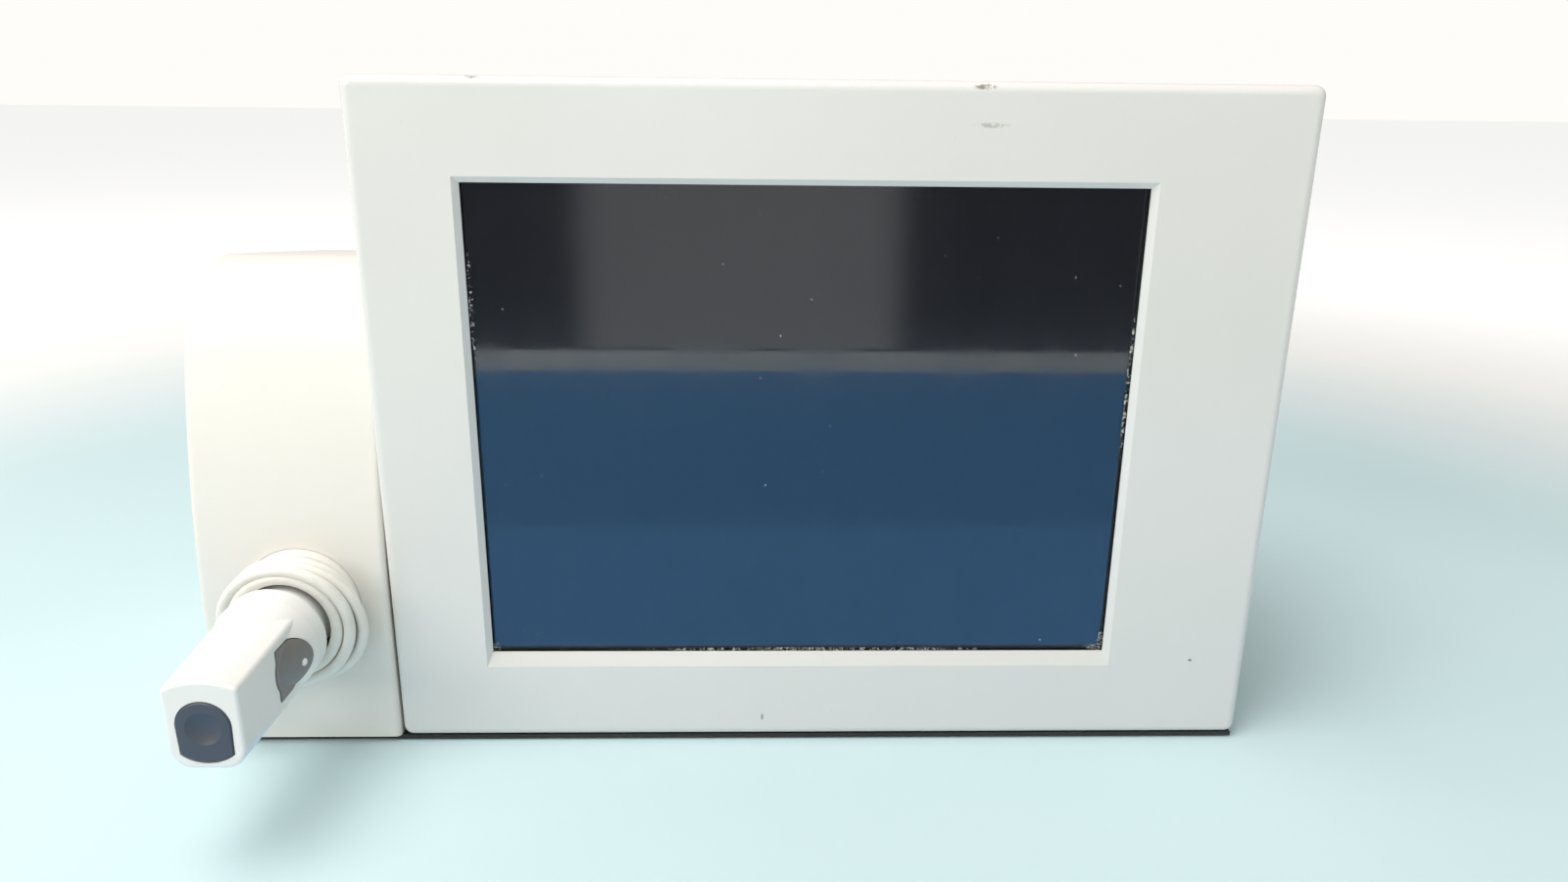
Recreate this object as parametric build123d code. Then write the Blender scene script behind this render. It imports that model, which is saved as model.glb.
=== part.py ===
from build123d import *
import math
import os

# Desktop video magnifier: a flat screen head standing in front of a low curved case, with a hand
# camera in a holder at the left. Millimetres, +Z up, +X to the viewer's right, +Y to the rear.
# Origin: centre of the bounding box in X and Y, on the surface that the feet stand on.

os.makedirs("parts", exist_ok=True)

# ---------------------------------------------------------------- driving dimensions
CASE_WIDTH = 418.0        # whole width, wing end to screen head's right edge
CASE_DEPTH = 168.0        # screen face to the rear edge of the case
REACH = 83.0              # how far the hand camera's tip stands out of the screen face
WALL = 2.5                # case wall
END_ROUND = 3.0           # rounding of the wing's end edges
SWEEP_START = 45.0        # height where the case front starts to curve back
SWEEP_R = 420.0           # radius of the curved front
ROLL_START = 160.0        # height where the front rolls over into the roof
ROLL_R = 42.0
ROOF_FALL = 7.0           # degrees, roof slope down to the rear
ROOF_REAR_R = 2.0
CASE_INSET_RIGHT = 6.0    # case end inside the screen head's right edge

FOOT_R = 9.0
FOOT_DROP = 0.8           # foot below the base plate
FOOT_SEAT = 0.8           # foot let into the base plate
PLATE_T = 1.6             # base plate
PLATE_INSET = 1.2         # base plate inside the case outline

HEAD_WIDTH = 344.0        # screen head
HEAD_HEIGHT = 258.0
HEAD_DEPTH = 26.0
HEAD_WALL = 3.0
HEAD_CORNER_R = 4.0
HEAD_EDGE_R = 3.5
SPLIT = 12.0              # bezel depth, front face to the parting line
GROOVE = 0.8              # gap between wing and screen head

OPENING_W = 247.0         # visible screen opening
OPENING_H = 184.8
OPENING_LOW = 37.2        # bottom of the head to the bottom of the opening
OPENING_LEFT = 38.5       # left edge of the head to the left edge of the opening
OPENING_BEVEL = 2.2
OPENING_SILL = 5.4        # height of the bevel under the opening
GASKET_T = 1.0
GASKET_W = 6.0
TOUCH_T = 1.8
LCD_T = 9.5
LCD_BORDER = 7.0          # module beyond the opening, each side
TRAY_T = 1.2
TRAY_BORDER = 8.0
TRAY_INSIDE = 50.0        # tray's window smaller than the screen opening
BOSS_R = 4.0

BRACKET_T = 1.0
BRACKET_W = 220.0
BRACKET_H = 80.0
BRACKET_Z = 92.0          # middle of the bracket

SEAT = 0.2                # clearance of fixed pieces that seat in each other
RUN = 0.4                 # clearance of pieces that move past each other

COVER_T = 2.5             # rear cover
COVER_SET_IN = 1.0

HOLDER_X = -169.5         # hand camera axis
HOLDER_Z = 61.3
CUP_WALL = 2.0
LINER_T = 1.5
CUP_DEPTH = 66.0
RIM_PROUD = 3.0
RIM_W = 2.2

CAMERA_HEAD_R = 17.0      # hand camera: part inside the holder
CAMERA_HEAD_L = 60.0
HAND_WALL = 2.2
COLLAR_STEP = 2.0         # collar thinner than the camera head
COLLAR_END = 26.0         # collar front, out of the screen face
SHOULDER_R = 19.2
SHOULDER_END = 34.0       # where the round shoulder starts to narrow
SHOULDER_TIP = 58.0
SHOULDER_TIP_R = 12.0
GRIP_HALF_W = 12.4        # at the tip
GRIP_TOP = 13.6
GRIP_CROWN = 3.0          # top edge's rise from corner to middle
GRIP_LOW = 18.6
GRIP_LOW_R = 7.5
GRIP_TOP_R = 2.0
GRIP_GROW = 1.0           # half width at the shoulder, more than at the tip
GRIP_TOP_GROW = 2.6       # top at the shoulder, higher than at the tip
GRIP_FRONT_R = 1.4

BUTTON_TRAVEL = 1.0
BUTTON_PROUD = 0.4
FLANGE = 1.0              # button flange behind the shell
END_BUTTON_HALF_W = 8.8
END_BUTTON_TOP = 6.0
END_BUTTON_CORNER = -13.0
END_BUTTON_LOW = -16.0
END_BUTTON_TAPER = 0.3
DIMPLE_R = 5.9
DIMPLE_DEPTH = 1.6
DIMPLE_Z = -3.5
SIDE_BUTTON_EDGE = 55.0   # straight front edge, out of the screen face
SIDE_BUTTON_R = 9.6
SIDE_BUTTON_Z = -0.8
SIDE_BUTTON_BACK = 37.4

CORD_D = 4.4
LEAD_IN = [(-185.4, -51.0, 30.9), (-176.2, -52.5, 34.2), (-167.0, -54.5, 38.4)]
LEAD_OUT = [(-174.5, -64.7, 42.3), (-183.5, -63.0, 44.3), (-189.5, -60.0, 50.0)]
COIL_IN_R = 16.6
COIL_OUT_R = 25.9
COIL_START = 6.0          # coil, out of the screen face
COIL_END = 19.0
COIL_DX = 0.4             # the coil hangs a little off the collar's middle
COIL_DZ = -1.0
GLAND_DX = -27.0          # gland from the holder axis
GLAND_DZ = -35.0
GLAND_LEAD_FREE = 12.0    # gland's middle to the end of its nose
GLAND_R = 5.5

LED_EDGE = 0.9            # camera head's bore to the lamps round the lens
LED_SIZE = 2.8
LED_COUNT = 8

SCREW_R = 1.5
SCREW_HEAD_R = 2.8
SCREW_HEAD_T = 1.8
SCREW_FIT = 0.1

BOARD_T = 1.6
BOARD_W = 200.0
BOARD_D = 112.0
BOARD_X = 60.0
BOARD_LIFT = 8.0
BOARD_BACK_GAP = 4.0      # main board to rear cover

INLET_X = -150.0
INLET_Z = 32.0
INLET_W = 27.5
INLET_H = 20.0
INLET_FLANGE = 2.5
INLET_DEPTH = 20.0
INLET_CAVITY_W = 24.5
INLET_CAVITY_H = 16.6
SWITCH_X = -112.0
SWITCH_W = 13.0
SWITCH_H = 19.4
SWITCH_FRAME = 2.0
SWITCH_DEPTH = 16.0
ROCKER_TILT = 9.0
DSUB_X = 10.0
LAN_X = 55.0
LAN_W = 16.0
LAN_H = 13.5
LAN_CAVITY_W = 11.7
LAN_CAVITY_H = 8.4
LAN_DEPTH = 16.0
VENT_W = 2.6
VENT_L = 34.0
VENT_PITCH = 7.0

# ---------------------------------------------------------------- derived places
FRONT = -(CASE_DEPTH - REACH) / 2.0          # screen face
REAR = FRONT + CASE_DEPTH
LEFT = -CASE_WIDTH / 2.0
RIGHT = CASE_WIDTH / 2.0
PLATE_LOW = FOOT_DROP
CASE_LOW = FOOT_DROP + PLATE_T
HEAD_LEFT = RIGHT - HEAD_WIDTH
HEAD_TOP = CASE_LOW + HEAD_HEIGHT
WING_RIGHT = HEAD_LEFT - GROOVE
CASE_RIGHT = RIGHT - CASE_INSET_RIGHT
HEAD_BACK = FRONT + HEAD_DEPTH
SHELF = HEAD_BACK + BRACKET_T                # case wall behind the screen head
OPENING_X = HEAD_LEFT + OPENING_LEFT + OPENING_W / 2.0
OPENING_Z = CASE_LOW + OPENING_LOW + OPENING_H / 2.0
GLASS_Y = FRONT + HEAD_WALL + GASKET_T
LCD_Y = GLASS_Y + TOUCH_T + SEAT
TRAY_Y = LCD_Y + LCD_T
COVER_OUT = REAR - COVER_SET_IN
COVER_IN = COVER_OUT - COVER_T
COLLAR_R = CAMERA_HEAD_R - COLLAR_STEP
BORE_R = CAMERA_HEAD_R + RUN
CUP_R = BORE_R + LINER_T + SEAT + CUP_WALL
RIM_R = CUP_R + RIM_W


def out(distance):
    """Y of a place that lies this far out of the screen face."""
    return FRONT - distance


def block(x0, x1, y0, y1, z0, z1):
    """Box between two corners."""
    solid = Box(abs(x1 - x0), abs(y1 - y0), abs(z1 - z0))
    return Pos((x0 + x1) / 2.0, (y0 + y1) / 2.0, (z0 + z1) / 2.0) * solid


def rod_y(x, z, y0, y1, radius):
    """Cylinder along Y from y0 to y1."""
    return Pos(x, (y0 + y1) / 2.0, z) * Rot(90, 0, 0) * Cylinder(radius, abs(y1 - y0))


def rod_z(x, y, z0, z1, radius):
    """Cylinder along Z from z0 to z1."""
    return Pos(x, y, (z0 + z1) / 2.0) * Cylinder(radius, abs(z1 - z0))


def screw_y(x, z, head_y, length, towards):
    """Pan-head screw along Y, its head's seat at head_y, its shank towards +Y or -Y."""
    head = rod_y(x, z, head_y - towards * SCREW_HEAD_T, head_y, SCREW_HEAD_R)
    slot = block(x - 2.0, x + 2.0, head_y - towards * SCREW_HEAD_T, head_y - towards * 1.0, z - 0.4, z + 0.4)
    return head - slot + rod_y(x, z, head_y, head_y + towards * length, SCREW_R)


def screw_hole_y(x, z, y0, y1):
    """Hole that a screw along Y passes or bites in."""
    return rod_y(x, z, y0, y1, SCREW_R + SCREW_FIT)


def screw_z(x, y, head_z, length):
    """Pan-head screw that points up, its head's seat at head_z."""
    head = rod_z(x, y, head_z - 0.6, head_z, SCREW_HEAD_R)
    return head + rod_z(x, y, head_z, head_z + length, SCREW_R)


def step_along(point, heading, radius, turn):
    """Middle and end of an arc that leaves point at heading (degrees from up, towards the rear)."""
    places = []
    for share in (0.5, 1.0):
        last = math.radians(heading + turn * share)
        first = math.radians(heading)
        places.append((point[0] + radius * (math.cos(first) - math.cos(last)),
                       point[1] + radius * (math.sin(last) - math.sin(first))))
    return places


def case_profile(inset, overrun):
    """Side outline of the case, drawn in by inset and run on past the bottom and the rear."""
    low = CASE_LOW - overrun
    start = (FRONT + inset, low)
    bend = (FRONT + inset, SWEEP_START)
    lean = math.degrees(math.asin((ROLL_START - SWEEP_START) / SWEEP_R))
    sweep_mid, sweep_end = step_along(bend, 0.0, SWEEP_R - inset, lean)
    roll = 90.0 + ROOF_FALL - lean
    roll_mid, roll_end = step_along(sweep_end, lean, ROLL_R - inset, roll)
    run = REAR - ROOF_REAR_R - roll_end[0]
    fall = math.tan(math.radians(ROOF_FALL))
    roof_end = (roll_end[0] + run, roll_end[1] - run * fall)
    edge_mid, edge_end = step_along(roof_end, 90.0 + ROOF_FALL, max(ROOF_REAR_R - inset, 1.0), 83.0)
    lines = Line(start, bend)
    lines += ThreePointArc(bend, sweep_mid, sweep_end)
    lines += ThreePointArc(sweep_end, roll_mid, roll_end)
    lines += Line(roll_end, roof_end)
    if overrun > 0:
        far = (REAR + overrun, roof_end[1] - (REAR + overrun - roof_end[0]) * fall)
        lines += Polyline(roof_end, far, (far[0], low), start)
    else:
        lines += ThreePointArc(roof_end, edge_mid, edge_end)
        lines += Polyline(edge_end, (edge_end[0], low), start)
    return make_face(Plane.YZ * lines)


def case_solid(inset, overrun, x0, x1):
    """Solid of the case's side outline between two X planes."""
    return Pos(x0, 0, 0) * extrude(case_profile(inset, overrun), x1 - x0, dir=(1, 0, 0))


# ---------------------------------------------------------------- case
VENT_XS = [BOARD_X - 60.0 + VENT_PITCH * index for index in range(16)]
VENT_Z = 120.0
CORNER_SCREWS = [(x, z) for x in (LEFT + 12.0, CASE_RIGHT - 12.0) for z in (12.0, 160.0)]
ROOF_SCREW = (0.0, 160.0)
COVER_SCREWS = CORNER_SCREWS + [ROOF_SCREW]
BASE_SCREWS = [(x, y) for x in (LEFT + 60.0, 0.0, CASE_RIGHT - 60.0) for y in (FRONT + 60.0, REAR - 24.0)]
FEET = [(x, y) for x in (LEFT + 20.0, RIGHT - 20.0) for y in (FRONT + 20.0, REAR - 20.0)]
BRACKET_SCREWS = [(OPENING_X + side * (BRACKET_W / 2.0 - 14.0), BRACKET_Z + up * (BRACKET_H / 2.0 - 12.0))
                  for side in (-1, 1) for up in (-1, 1)]
LUG_R = 5.0
LUG_L = 9.0


def body_shell():
    """Case: wing, curved front, roof and end walls, open below and behind."""
    outer = case_solid(0.0, 0.0, LEFT, CASE_RIGHT)
    ends = outer.edges().filter_by_position(Axis.X, LEFT - 0.01, LEFT + 0.01)
    ends = ends.filter_by(lambda edge: edge.center().Z > CASE_LOW + 0.1 and edge.center().Y < REAR - 0.1)
    outer = fillet(ends, END_ROUND)
    outer -= block(WING_RIGHT, RIGHT + 10, FRONT - 20, SHELF, -10, HEAD_TOP + 20)
    lips = outer.edges().filter_by_position(Axis.X, WING_RIGHT - 0.01, WING_RIGHT + 0.01)
    lips = lips.filter_by(lambda edge: edge.center().Y < SHELF - 1.0 and CASE_LOW + 0.1 < edge.center().Z)
    outer = fillet(lips, WALL - 0.3)
    inner = case_solid(WALL, 20.0, LEFT + WALL, CASE_RIGHT - WALL)
    inner -= block(WING_RIGHT - WALL, RIGHT + 10, FRONT - 20, SHELF + WALL, -40, HEAD_TOP + 20)
    shell = outer - inner
    lug_front = COVER_IN - SEAT - LUG_L
    lug_back = COVER_IN - SEAT
    lugs = Part()
    for x, z in CORNER_SCREWS:
        wall_x = LEFT + 1.0 if x < 0 else CASE_RIGHT - 1.0
        lugs += block(min(x, wall_x), max(x, wall_x), lug_front, lug_back, z - 3, z + 3)
    roof_x, roof_z = ROOF_SCREW
    lugs += block(roof_x - 3, roof_x + 3, lug_front, lug_back, roof_z, roof_height(lug_back) + 0.5)
    for x, z in COVER_SCREWS:
        lugs += rod_y(x, z, lug_front, lug_back, LUG_R)
    shell += lugs
    for x, z in COVER_SCREWS:
        shell -= screw_hole_y(x, z, lug_front + 1.5, REAR)
    shell -= rod_y(HOLDER_X, HOLDER_Z, FRONT - 5, FRONT + 12, RIM_R + SEAT)
    shell -= rod_y(HOLDER_X + GLAND_DX, HOLDER_Z + GLAND_DZ, FRONT - 5, FRONT + 12, GLAND_R - 1.5 + SEAT)
    for x, z in BRACKET_SCREWS:
        shell -= screw_hole_y(x, z, SHELF - 1, SHELF + WALL + 1)
    return shell


def roof_height(y):
    """Height of the roof's inside at a depth y behind the roll."""
    lean = math.degrees(math.asin((ROLL_START - SWEEP_START) / SWEEP_R))
    bend = (FRONT + WALL, SWEEP_START)
    sweep_end = step_along(bend, 0.0, SWEEP_R - WALL, lean)[1]
    roll_end = step_along(sweep_end, lean, ROLL_R - WALL, 90.0 + ROOF_FALL - lean)[1]
    return roll_end[1] - (y - roll_end[0]) * math.tan(math.radians(ROOF_FALL))


def rear_cover():
    """Plate that closes the case behind, with cut-outs for the sockets and rows of vents."""
    gap = WALL + SEAT
    cover = case_solid(gap, 20.0, LEFT + gap, CASE_RIGHT - gap)
    cover &= block(LEFT, RIGHT, COVER_IN, COVER_OUT, CASE_LOW + SEAT, HEAD_TOP)
    cover -= block(INLET_X - INLET_W / 2 - SEAT, INLET_X + INLET_W / 2 + SEAT, COVER_IN - 1, COVER_OUT + 1,
                   INLET_Z - INLET_H / 2 - SEAT, INLET_Z + INLET_H / 2 + SEAT)
    half_w, half_h = SWITCH_W / 2 + SEAT, SWITCH_H / 2 + SEAT
    cover -= block(SWITCH_X - half_w, SWITCH_X + half_w, COVER_IN - 1, COVER_OUT + 1,
                   INLET_Z - half_h, INLET_Z + half_h)
    cover -= block(LAN_X - LAN_W / 2 - SEAT, LAN_X + LAN_W / 2 + SEAT, COVER_IN - 1, COVER_OUT + 1,
                   BOARD_TOP - SEAT, BOARD_TOP + LAN_H + SEAT)
    cover -= Pos(DSUB_X, (COVER_IN + COVER_OUT) / 2, BOARD_TOP + 7.0) * Box(25.6, 10, 10.2)
    for x, z in COVER_SCREWS:
        cover -= screw_hole_y(x, z, COVER_IN - 1, COVER_OUT + 1)
    for x in VENT_XS:
        cover -= block(x - VENT_W / 2, x + VENT_W / 2, COVER_IN - 1, COVER_OUT + 1, VENT_Z, VENT_Z + VENT_L)
    return cover


def cover_screws():
    """Screws that hold the rear cover."""
    length = COVER_T + SEAT + LUG_L - 3.0
    return Compound(children=[screw_y(x, z, COVER_OUT, length, -1) for x, z in COVER_SCREWS])


def base_plate():
    """Black plate under the whole unit, with shallow seats for the feet."""
    plate = block(LEFT + PLATE_INSET, RIGHT - PLATE_INSET, FRONT + PLATE_INSET, REAR - PLATE_INSET,
                  PLATE_LOW, CASE_LOW)
    for x, y in FEET:
        plate -= rod_z(x, y, PLATE_LOW - 1, PLATE_LOW + FOOT_SEAT, FOOT_R)
    for x, y in BASE_SCREWS:
        plate -= rod_z(x, y, PLATE_LOW - 1, CASE_LOW + 1, SCREW_R + SCREW_FIT)
        plate -= rod_z(x, y, PLATE_LOW - 1, PLATE_LOW + 0.7, SCREW_HEAD_R + SEAT)
    return plate


def rubber_feet():
    """Round pads in the base plate's seats."""
    pads = []
    for x, y in FEET:
        pad = rod_z(x, y, 0.0, PLATE_LOW + FOOT_SEAT, FOOT_R - 0.05)
        pads.append(chamfer(pad.faces().sort_by(Axis.Z)[0].edges(), 0.4))
    return Compound(children=pads)


def base_rails():
    """Bent steel rails on the base plate that the base screws bite in."""
    rails = []
    for y in (FRONT + 60.0, REAR - 24.0):
        rail = block(LEFT + 40.0, CASE_RIGHT - 40.0, y - 6, y + 6, CASE_LOW, CASE_LOW + 3.0)
        for x, place in BASE_SCREWS:
            if place == y:
                rail -= rod_z(x, y, CASE_LOW - 1, CASE_LOW + 4, SCREW_R + SCREW_FIT)
        rails.append(rail)
    return Compound(children=rails)


def base_screws():
    """Screws that hold the base plate to the rails."""
    return Compound(children=[screw_z(x, y, PLATE_LOW + 0.7, 3.6) for x, y in BASE_SCREWS])


# ---------------------------------------------------------------- screen head
def head_box(x_in, y0, y1):
    """Block of the screen head's outline, drawn in by x_in."""
    return block(HEAD_LEFT + x_in, RIGHT - x_in, y0, y1, CASE_LOW + x_in, HEAD_TOP - x_in)


BOSSES = [(OPENING_X + side * (OPENING_W / 2 + LCD_BORDER + 6.5), OPENING_Z + up * (OPENING_H / 2 - 8.0))
          for side in (-1, 1) for up in (-1, 1)]
BOSS_END = TRAY_Y


def opening_mouth():
    """Funnel of the screen opening: even bevels with a taller sill underneath."""
    overrun = 1.0
    loops = []
    for y in (FRONT - overrun, FRONT + OPENING_BEVEL):
        share = (FRONT + OPENING_BEVEL - y) / OPENING_BEVEL
        half_w = OPENING_W / 2 + OPENING_BEVEL * share
        low = -OPENING_H / 2 - OPENING_SILL * share
        high = OPENING_H / 2 + OPENING_BEVEL * share
        face = Plane(origin=(OPENING_X, y, OPENING_Z), x_dir=(1, 0, 0), z_dir=(0, -1, 0))
        loops.append(face * Polygon((-half_w, low), (half_w, low), (half_w, high), (-half_w, high), align=None))
    return loft(loops)


def front_bezel():
    """Front moulding of the screen head with its bevelled opening and four tray bosses."""
    bezel = head_box(0.0, FRONT, FRONT + SPLIT)
    bezel = fillet(bezel.edges().filter_by(Axis.Y), HEAD_CORNER_R)
    bezel = fillet(bezel.faces().sort_by(Axis.Y)[0].edges(), HEAD_EDGE_R)
    bezel -= head_box(HEAD_WALL, FRONT + HEAD_WALL, FRONT + SPLIT + 1)
    bezel -= Pos(OPENING_X, FRONT, OPENING_Z) * Box(OPENING_W, 2 * HEAD_WALL + 2, OPENING_H)
    bezel -= opening_mouth()
    for x, z in BOSSES:
        bezel += rod_y(x, z, FRONT + HEAD_WALL - 0.5, BOSS_END, BOSS_R)
        bezel -= screw_hole_y(x, z, FRONT + HEAD_WALL + 1.0, BOSS_END + 1)
    return bezel


def head_back():
    """Rear moulding of the screen head."""
    back = head_box(0.0, FRONT + SPLIT, HEAD_BACK)
    back = fillet(back.edges().filter_by(Axis.Y), HEAD_CORNER_R)
    back = fillet(back.faces().sort_by(Axis.Y)[-1].edges(), 2.0)
    back -= head_box(HEAD_WALL, FRONT + SPLIT - 1, HEAD_BACK - HEAD_WALL)
    for index in range(22):
        x = OPENING_X - 77.0 + VENT_PITCH * index
        back -= block(x - VENT_W / 2, x + VENT_W / 2, HEAD_BACK - 5, HEAD_BACK + 1,
                      HEAD_TOP - 44, HEAD_TOP - 22)
    for x, z in BRACKET_SCREWS:
        back -= screw_hole_y(x, z, HEAD_BACK - 5, HEAD_BACK + 1)
    return back


def frame_ring(width, height, border, y0, y1):
    """Rectangular ring around the opening's middle."""
    ring = Pos(OPENING_X, (y0 + y1) / 2, OPENING_Z) * Box(width + 2 * border, y1 - y0, height + 2 * border)
    return ring - Pos(OPENING_X, (y0 + y1) / 2, OPENING_Z) * Box(width, y1 - y0 + 2, height)


def screen_gasket():
    """Foam ring between bezel and touch glass."""
    return frame_ring(OPENING_W + 1.0, OPENING_H + 1.0, GASKET_W, FRONT + HEAD_WALL, GLASS_Y)


def touch_glass():
    """Touch-sensitive glass in front of the display module."""
    width, height = OPENING_W + 2 * LCD_BORDER, OPENING_H + 2 * LCD_BORDER
    return Pos(OPENING_X, GLASS_Y + TOUCH_T / 2, OPENING_Z) * Box(width, TOUCH_T, height)


def lcd_module():
    """Display module with its backlight."""
    width, height = OPENING_W + 2 * LCD_BORDER, OPENING_H + 2 * LCD_BORDER
    return Pos(OPENING_X, LCD_Y + LCD_T / 2, OPENING_Z) * Box(width, LCD_T, height)


def lcd_tray():
    """Steel frame that presses the display module against the bezel."""
    border = TRAY_INSIDE / 2 + LCD_BORDER + TRAY_BORDER - 2
    tray = frame_ring(OPENING_W - TRAY_INSIDE, OPENING_H - TRAY_INSIDE, border, TRAY_Y, TRAY_Y + TRAY_T)
    for x, z in BOSSES:
        ear = rod_y(x, z, TRAY_Y, TRAY_Y + TRAY_T, BOSS_R + 1.5)
        tray += ear
        tray -= screw_hole_y(x, z, TRAY_Y - 1, TRAY_Y + TRAY_T + 1)
    return tray


def tray_screws():
    """Screws through the tray into the bezel's bosses."""
    depth = TRAY_T + BOSS_END - FRONT - HEAD_WALL - 2.0
    return Compound(children=[screw_y(x, z, TRAY_Y + TRAY_T, depth, -1) for x, z in BOSSES])


def inverter_board():
    """Backlight supply on the tray."""
    y = TRAY_Y + TRAY_T
    board = block(OPENING_X - 60, OPENING_X + 60, y, y + 1.2, CASE_LOW + 12, CASE_LOW + 34)
    board += block(OPENING_X - 48, OPENING_X - 24, y + 1.2, y + 4.5, CASE_LOW + 16, CASE_LOW + 30)
    return board + block(OPENING_X + 20, OPENING_X + 34, y + 1.2, y + 4.0, CASE_LOW + 16, CASE_LOW + 30)


def head_bracket():
    """Steel plate between the screen head and the case's front wall."""
    low, high = BRACKET_Z - BRACKET_H / 2, BRACKET_Z + BRACKET_H / 2
    plate = block(OPENING_X - BRACKET_W / 2, OPENING_X + BRACKET_W / 2, HEAD_BACK, SHELF, low, high)
    for x, z in BRACKET_SCREWS:
        plate -= screw_hole_y(x, z, HEAD_BACK - 1, SHELF + 1)
    return plate


def bracket_screws():
    """Screws from inside the case into the screen head."""
    length = WALL + BRACKET_T + HEAD_WALL
    return Compound(children=[screw_y(x, z, SHELF + WALL, length, -1) for x, z in BRACKET_SCREWS])


# ---------------------------------------------------------------- electronics in the case
BOARD_BACK = COVER_IN - BOARD_BACK_GAP
BOARD_Z = CASE_LOW + BOARD_LIFT
BOARD_TOP = BOARD_Z + BOARD_T
POSTS = [(BOARD_X + side * (BOARD_W / 2 - 8), BOARD_BACK - BOARD_D / 2 + deep * (BOARD_D / 2 - 26))
         for side in (-1, 1) for deep in (-1, 1)]
SINK_X = BOARD_X + 20.0
SINK_Y = BOARD_BACK - 60.0


def main_board():
    """Image processing board with its larger parts."""
    front = BOARD_BACK - BOARD_D
    board = block(BOARD_X - BOARD_W / 2, BOARD_X + BOARD_W / 2, front, BOARD_BACK, BOARD_Z, BOARD_TOP)
    for x, y in POSTS:
        board -= rod_z(x, y, BOARD_Z - 1, BOARD_TOP + 1, SCREW_R + SCREW_FIT)
    board += block(SINK_X - 14, SINK_X + 14, SINK_Y - 14, SINK_Y + 14, BOARD_TOP, BOARD_TOP + 2.4)
    for index in range(4):
        x = BOARD_X - 70 + 18 * index
        board += block(x, x + 12, front + 30, front + 40, BOARD_TOP, BOARD_TOP + 1.4)
        board += rod_z(x + 5, front + 56, BOARD_TOP, BOARD_TOP + 9, 3.2)
    return board


def board_posts():
    """Pillars under the main board."""
    posts = []
    for x, y in POSTS:
        bore = rod_z(x, y, BOARD_Z - 6, BOARD_Z + 1, SCREW_R + SCREW_FIT)
        posts.append(rod_z(x, y, CASE_LOW, BOARD_Z, 3.0) - bore)
    return Compound(children=posts)


def board_screws():
    """Screws that hold the main board to its pillars."""
    screws = []
    for x, y in POSTS:
        shank = rod_z(x, y, BOARD_TOP - 6, BOARD_TOP, SCREW_R)
        screws.append(shank + rod_z(x, y, BOARD_TOP, BOARD_TOP + SCREW_HEAD_T, SCREW_HEAD_R))
    return Compound(children=screws)


def heat_sink():
    """Finned block on the processor."""
    z = BOARD_TOP + 2.4
    sink = block(SINK_X - 18, SINK_X + 18, SINK_Y - 18, SINK_Y + 18, z, z + 3)
    for index in range(9):
        x = SINK_X - 18 + 4.35 * index
        sink += block(x, x + 1.2, SINK_Y - 18, SINK_Y + 18, z + 3, z + 14)
    return sink


def power_supply():
    """Caged supply on the base plate."""
    rear = COVER_IN - INLET_DEPTH - 12.0
    cage = block(INLET_X - 44, INLET_X + 64, rear - 58, rear, CASE_LOW + 3.5, CASE_LOW + 38)
    for index in range(10):
        x = INLET_X - 36 + 10.0 * index
        cage -= block(x, x + 4, rear - 48, rear - 10, CASE_LOW + 37, CASE_LOW + 39)
    return cage


def supply_feet():
    """Blocks that carry the supply."""
    rear = COVER_IN - INLET_DEPTH - 12.0
    feet = []
    for x in (INLET_X - 40, INLET_X + 52):
        for y in (rear - 54, rear - 12):
            feet.append(block(x, x + 8, y, y + 8, CASE_LOW, CASE_LOW + 3.5))
    return Compound(children=feet)


# ---------------------------------------------------------------- rear sockets and switch
def mains_inlet():
    """Three-pole appliance inlet in the rear cover."""
    deep = COVER_IN - INLET_DEPTH
    body = block(INLET_X - INLET_W / 2, INLET_X + INLET_W / 2, deep, COVER_OUT,
                 INLET_Z - INLET_H / 2, INLET_Z + INLET_H / 2)
    flange = block(INLET_X - INLET_W / 2 - INLET_FLANGE, INLET_X + INLET_W / 2 + INLET_FLANGE,
                   COVER_OUT, COVER_OUT + COVER_SET_IN,
                   INLET_Z - INLET_H / 2 - INLET_FLANGE, INLET_Z + INLET_H / 2 + INLET_FLANGE)
    cavity = block(INLET_X - INLET_CAVITY_W / 2, INLET_X + INLET_CAVITY_W / 2, deep + 3, REAR + 1,
                   INLET_Z - INLET_CAVITY_H / 2, INLET_Z + INLET_CAVITY_H / 2)
    cavity = chamfer(cavity.edges().filter_by(Axis.Y).sort_by(Axis.Z)[-2:], 4.0)
    return body + flange - cavity


def inlet_pins():
    """Flat pins of the appliance inlet."""
    deep = COVER_IN - INLET_DEPTH
    pins = []
    for dx, dz in ((-7.0, -2.0), (7.0, -2.0), (0.0, 2.0)):
        pins.append(block(INLET_X + dx - 1, INLET_X + dx + 1, deep + 3, REAR - 3,
                          INLET_Z + dz - 2, INLET_Z + dz + 2))
    return Compound(children=pins)


def switch_housing():
    """Frame and box of the power switch."""
    w, h = SWITCH_W / 2, SWITCH_H / 2
    body = block(SWITCH_X - w, SWITCH_X + w, COVER_IN - SWITCH_DEPTH, COVER_OUT, INLET_Z - h, INLET_Z + h)
    wide, high = w + SWITCH_FRAME, h + SWITCH_FRAME
    body += block(SWITCH_X - wide, SWITCH_X + wide, COVER_OUT, COVER_OUT + COVER_SET_IN,
                  INLET_Z - high, INLET_Z + high)
    return body - block(SWITCH_X - w + 1, SWITCH_X + w - 1, COVER_IN - 10.0, REAR + 1,
                        INLET_Z - h + 1, INLET_Z + h - 1)


ROCKER_PIVOT_Y = COVER_OUT - 2.4


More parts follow.
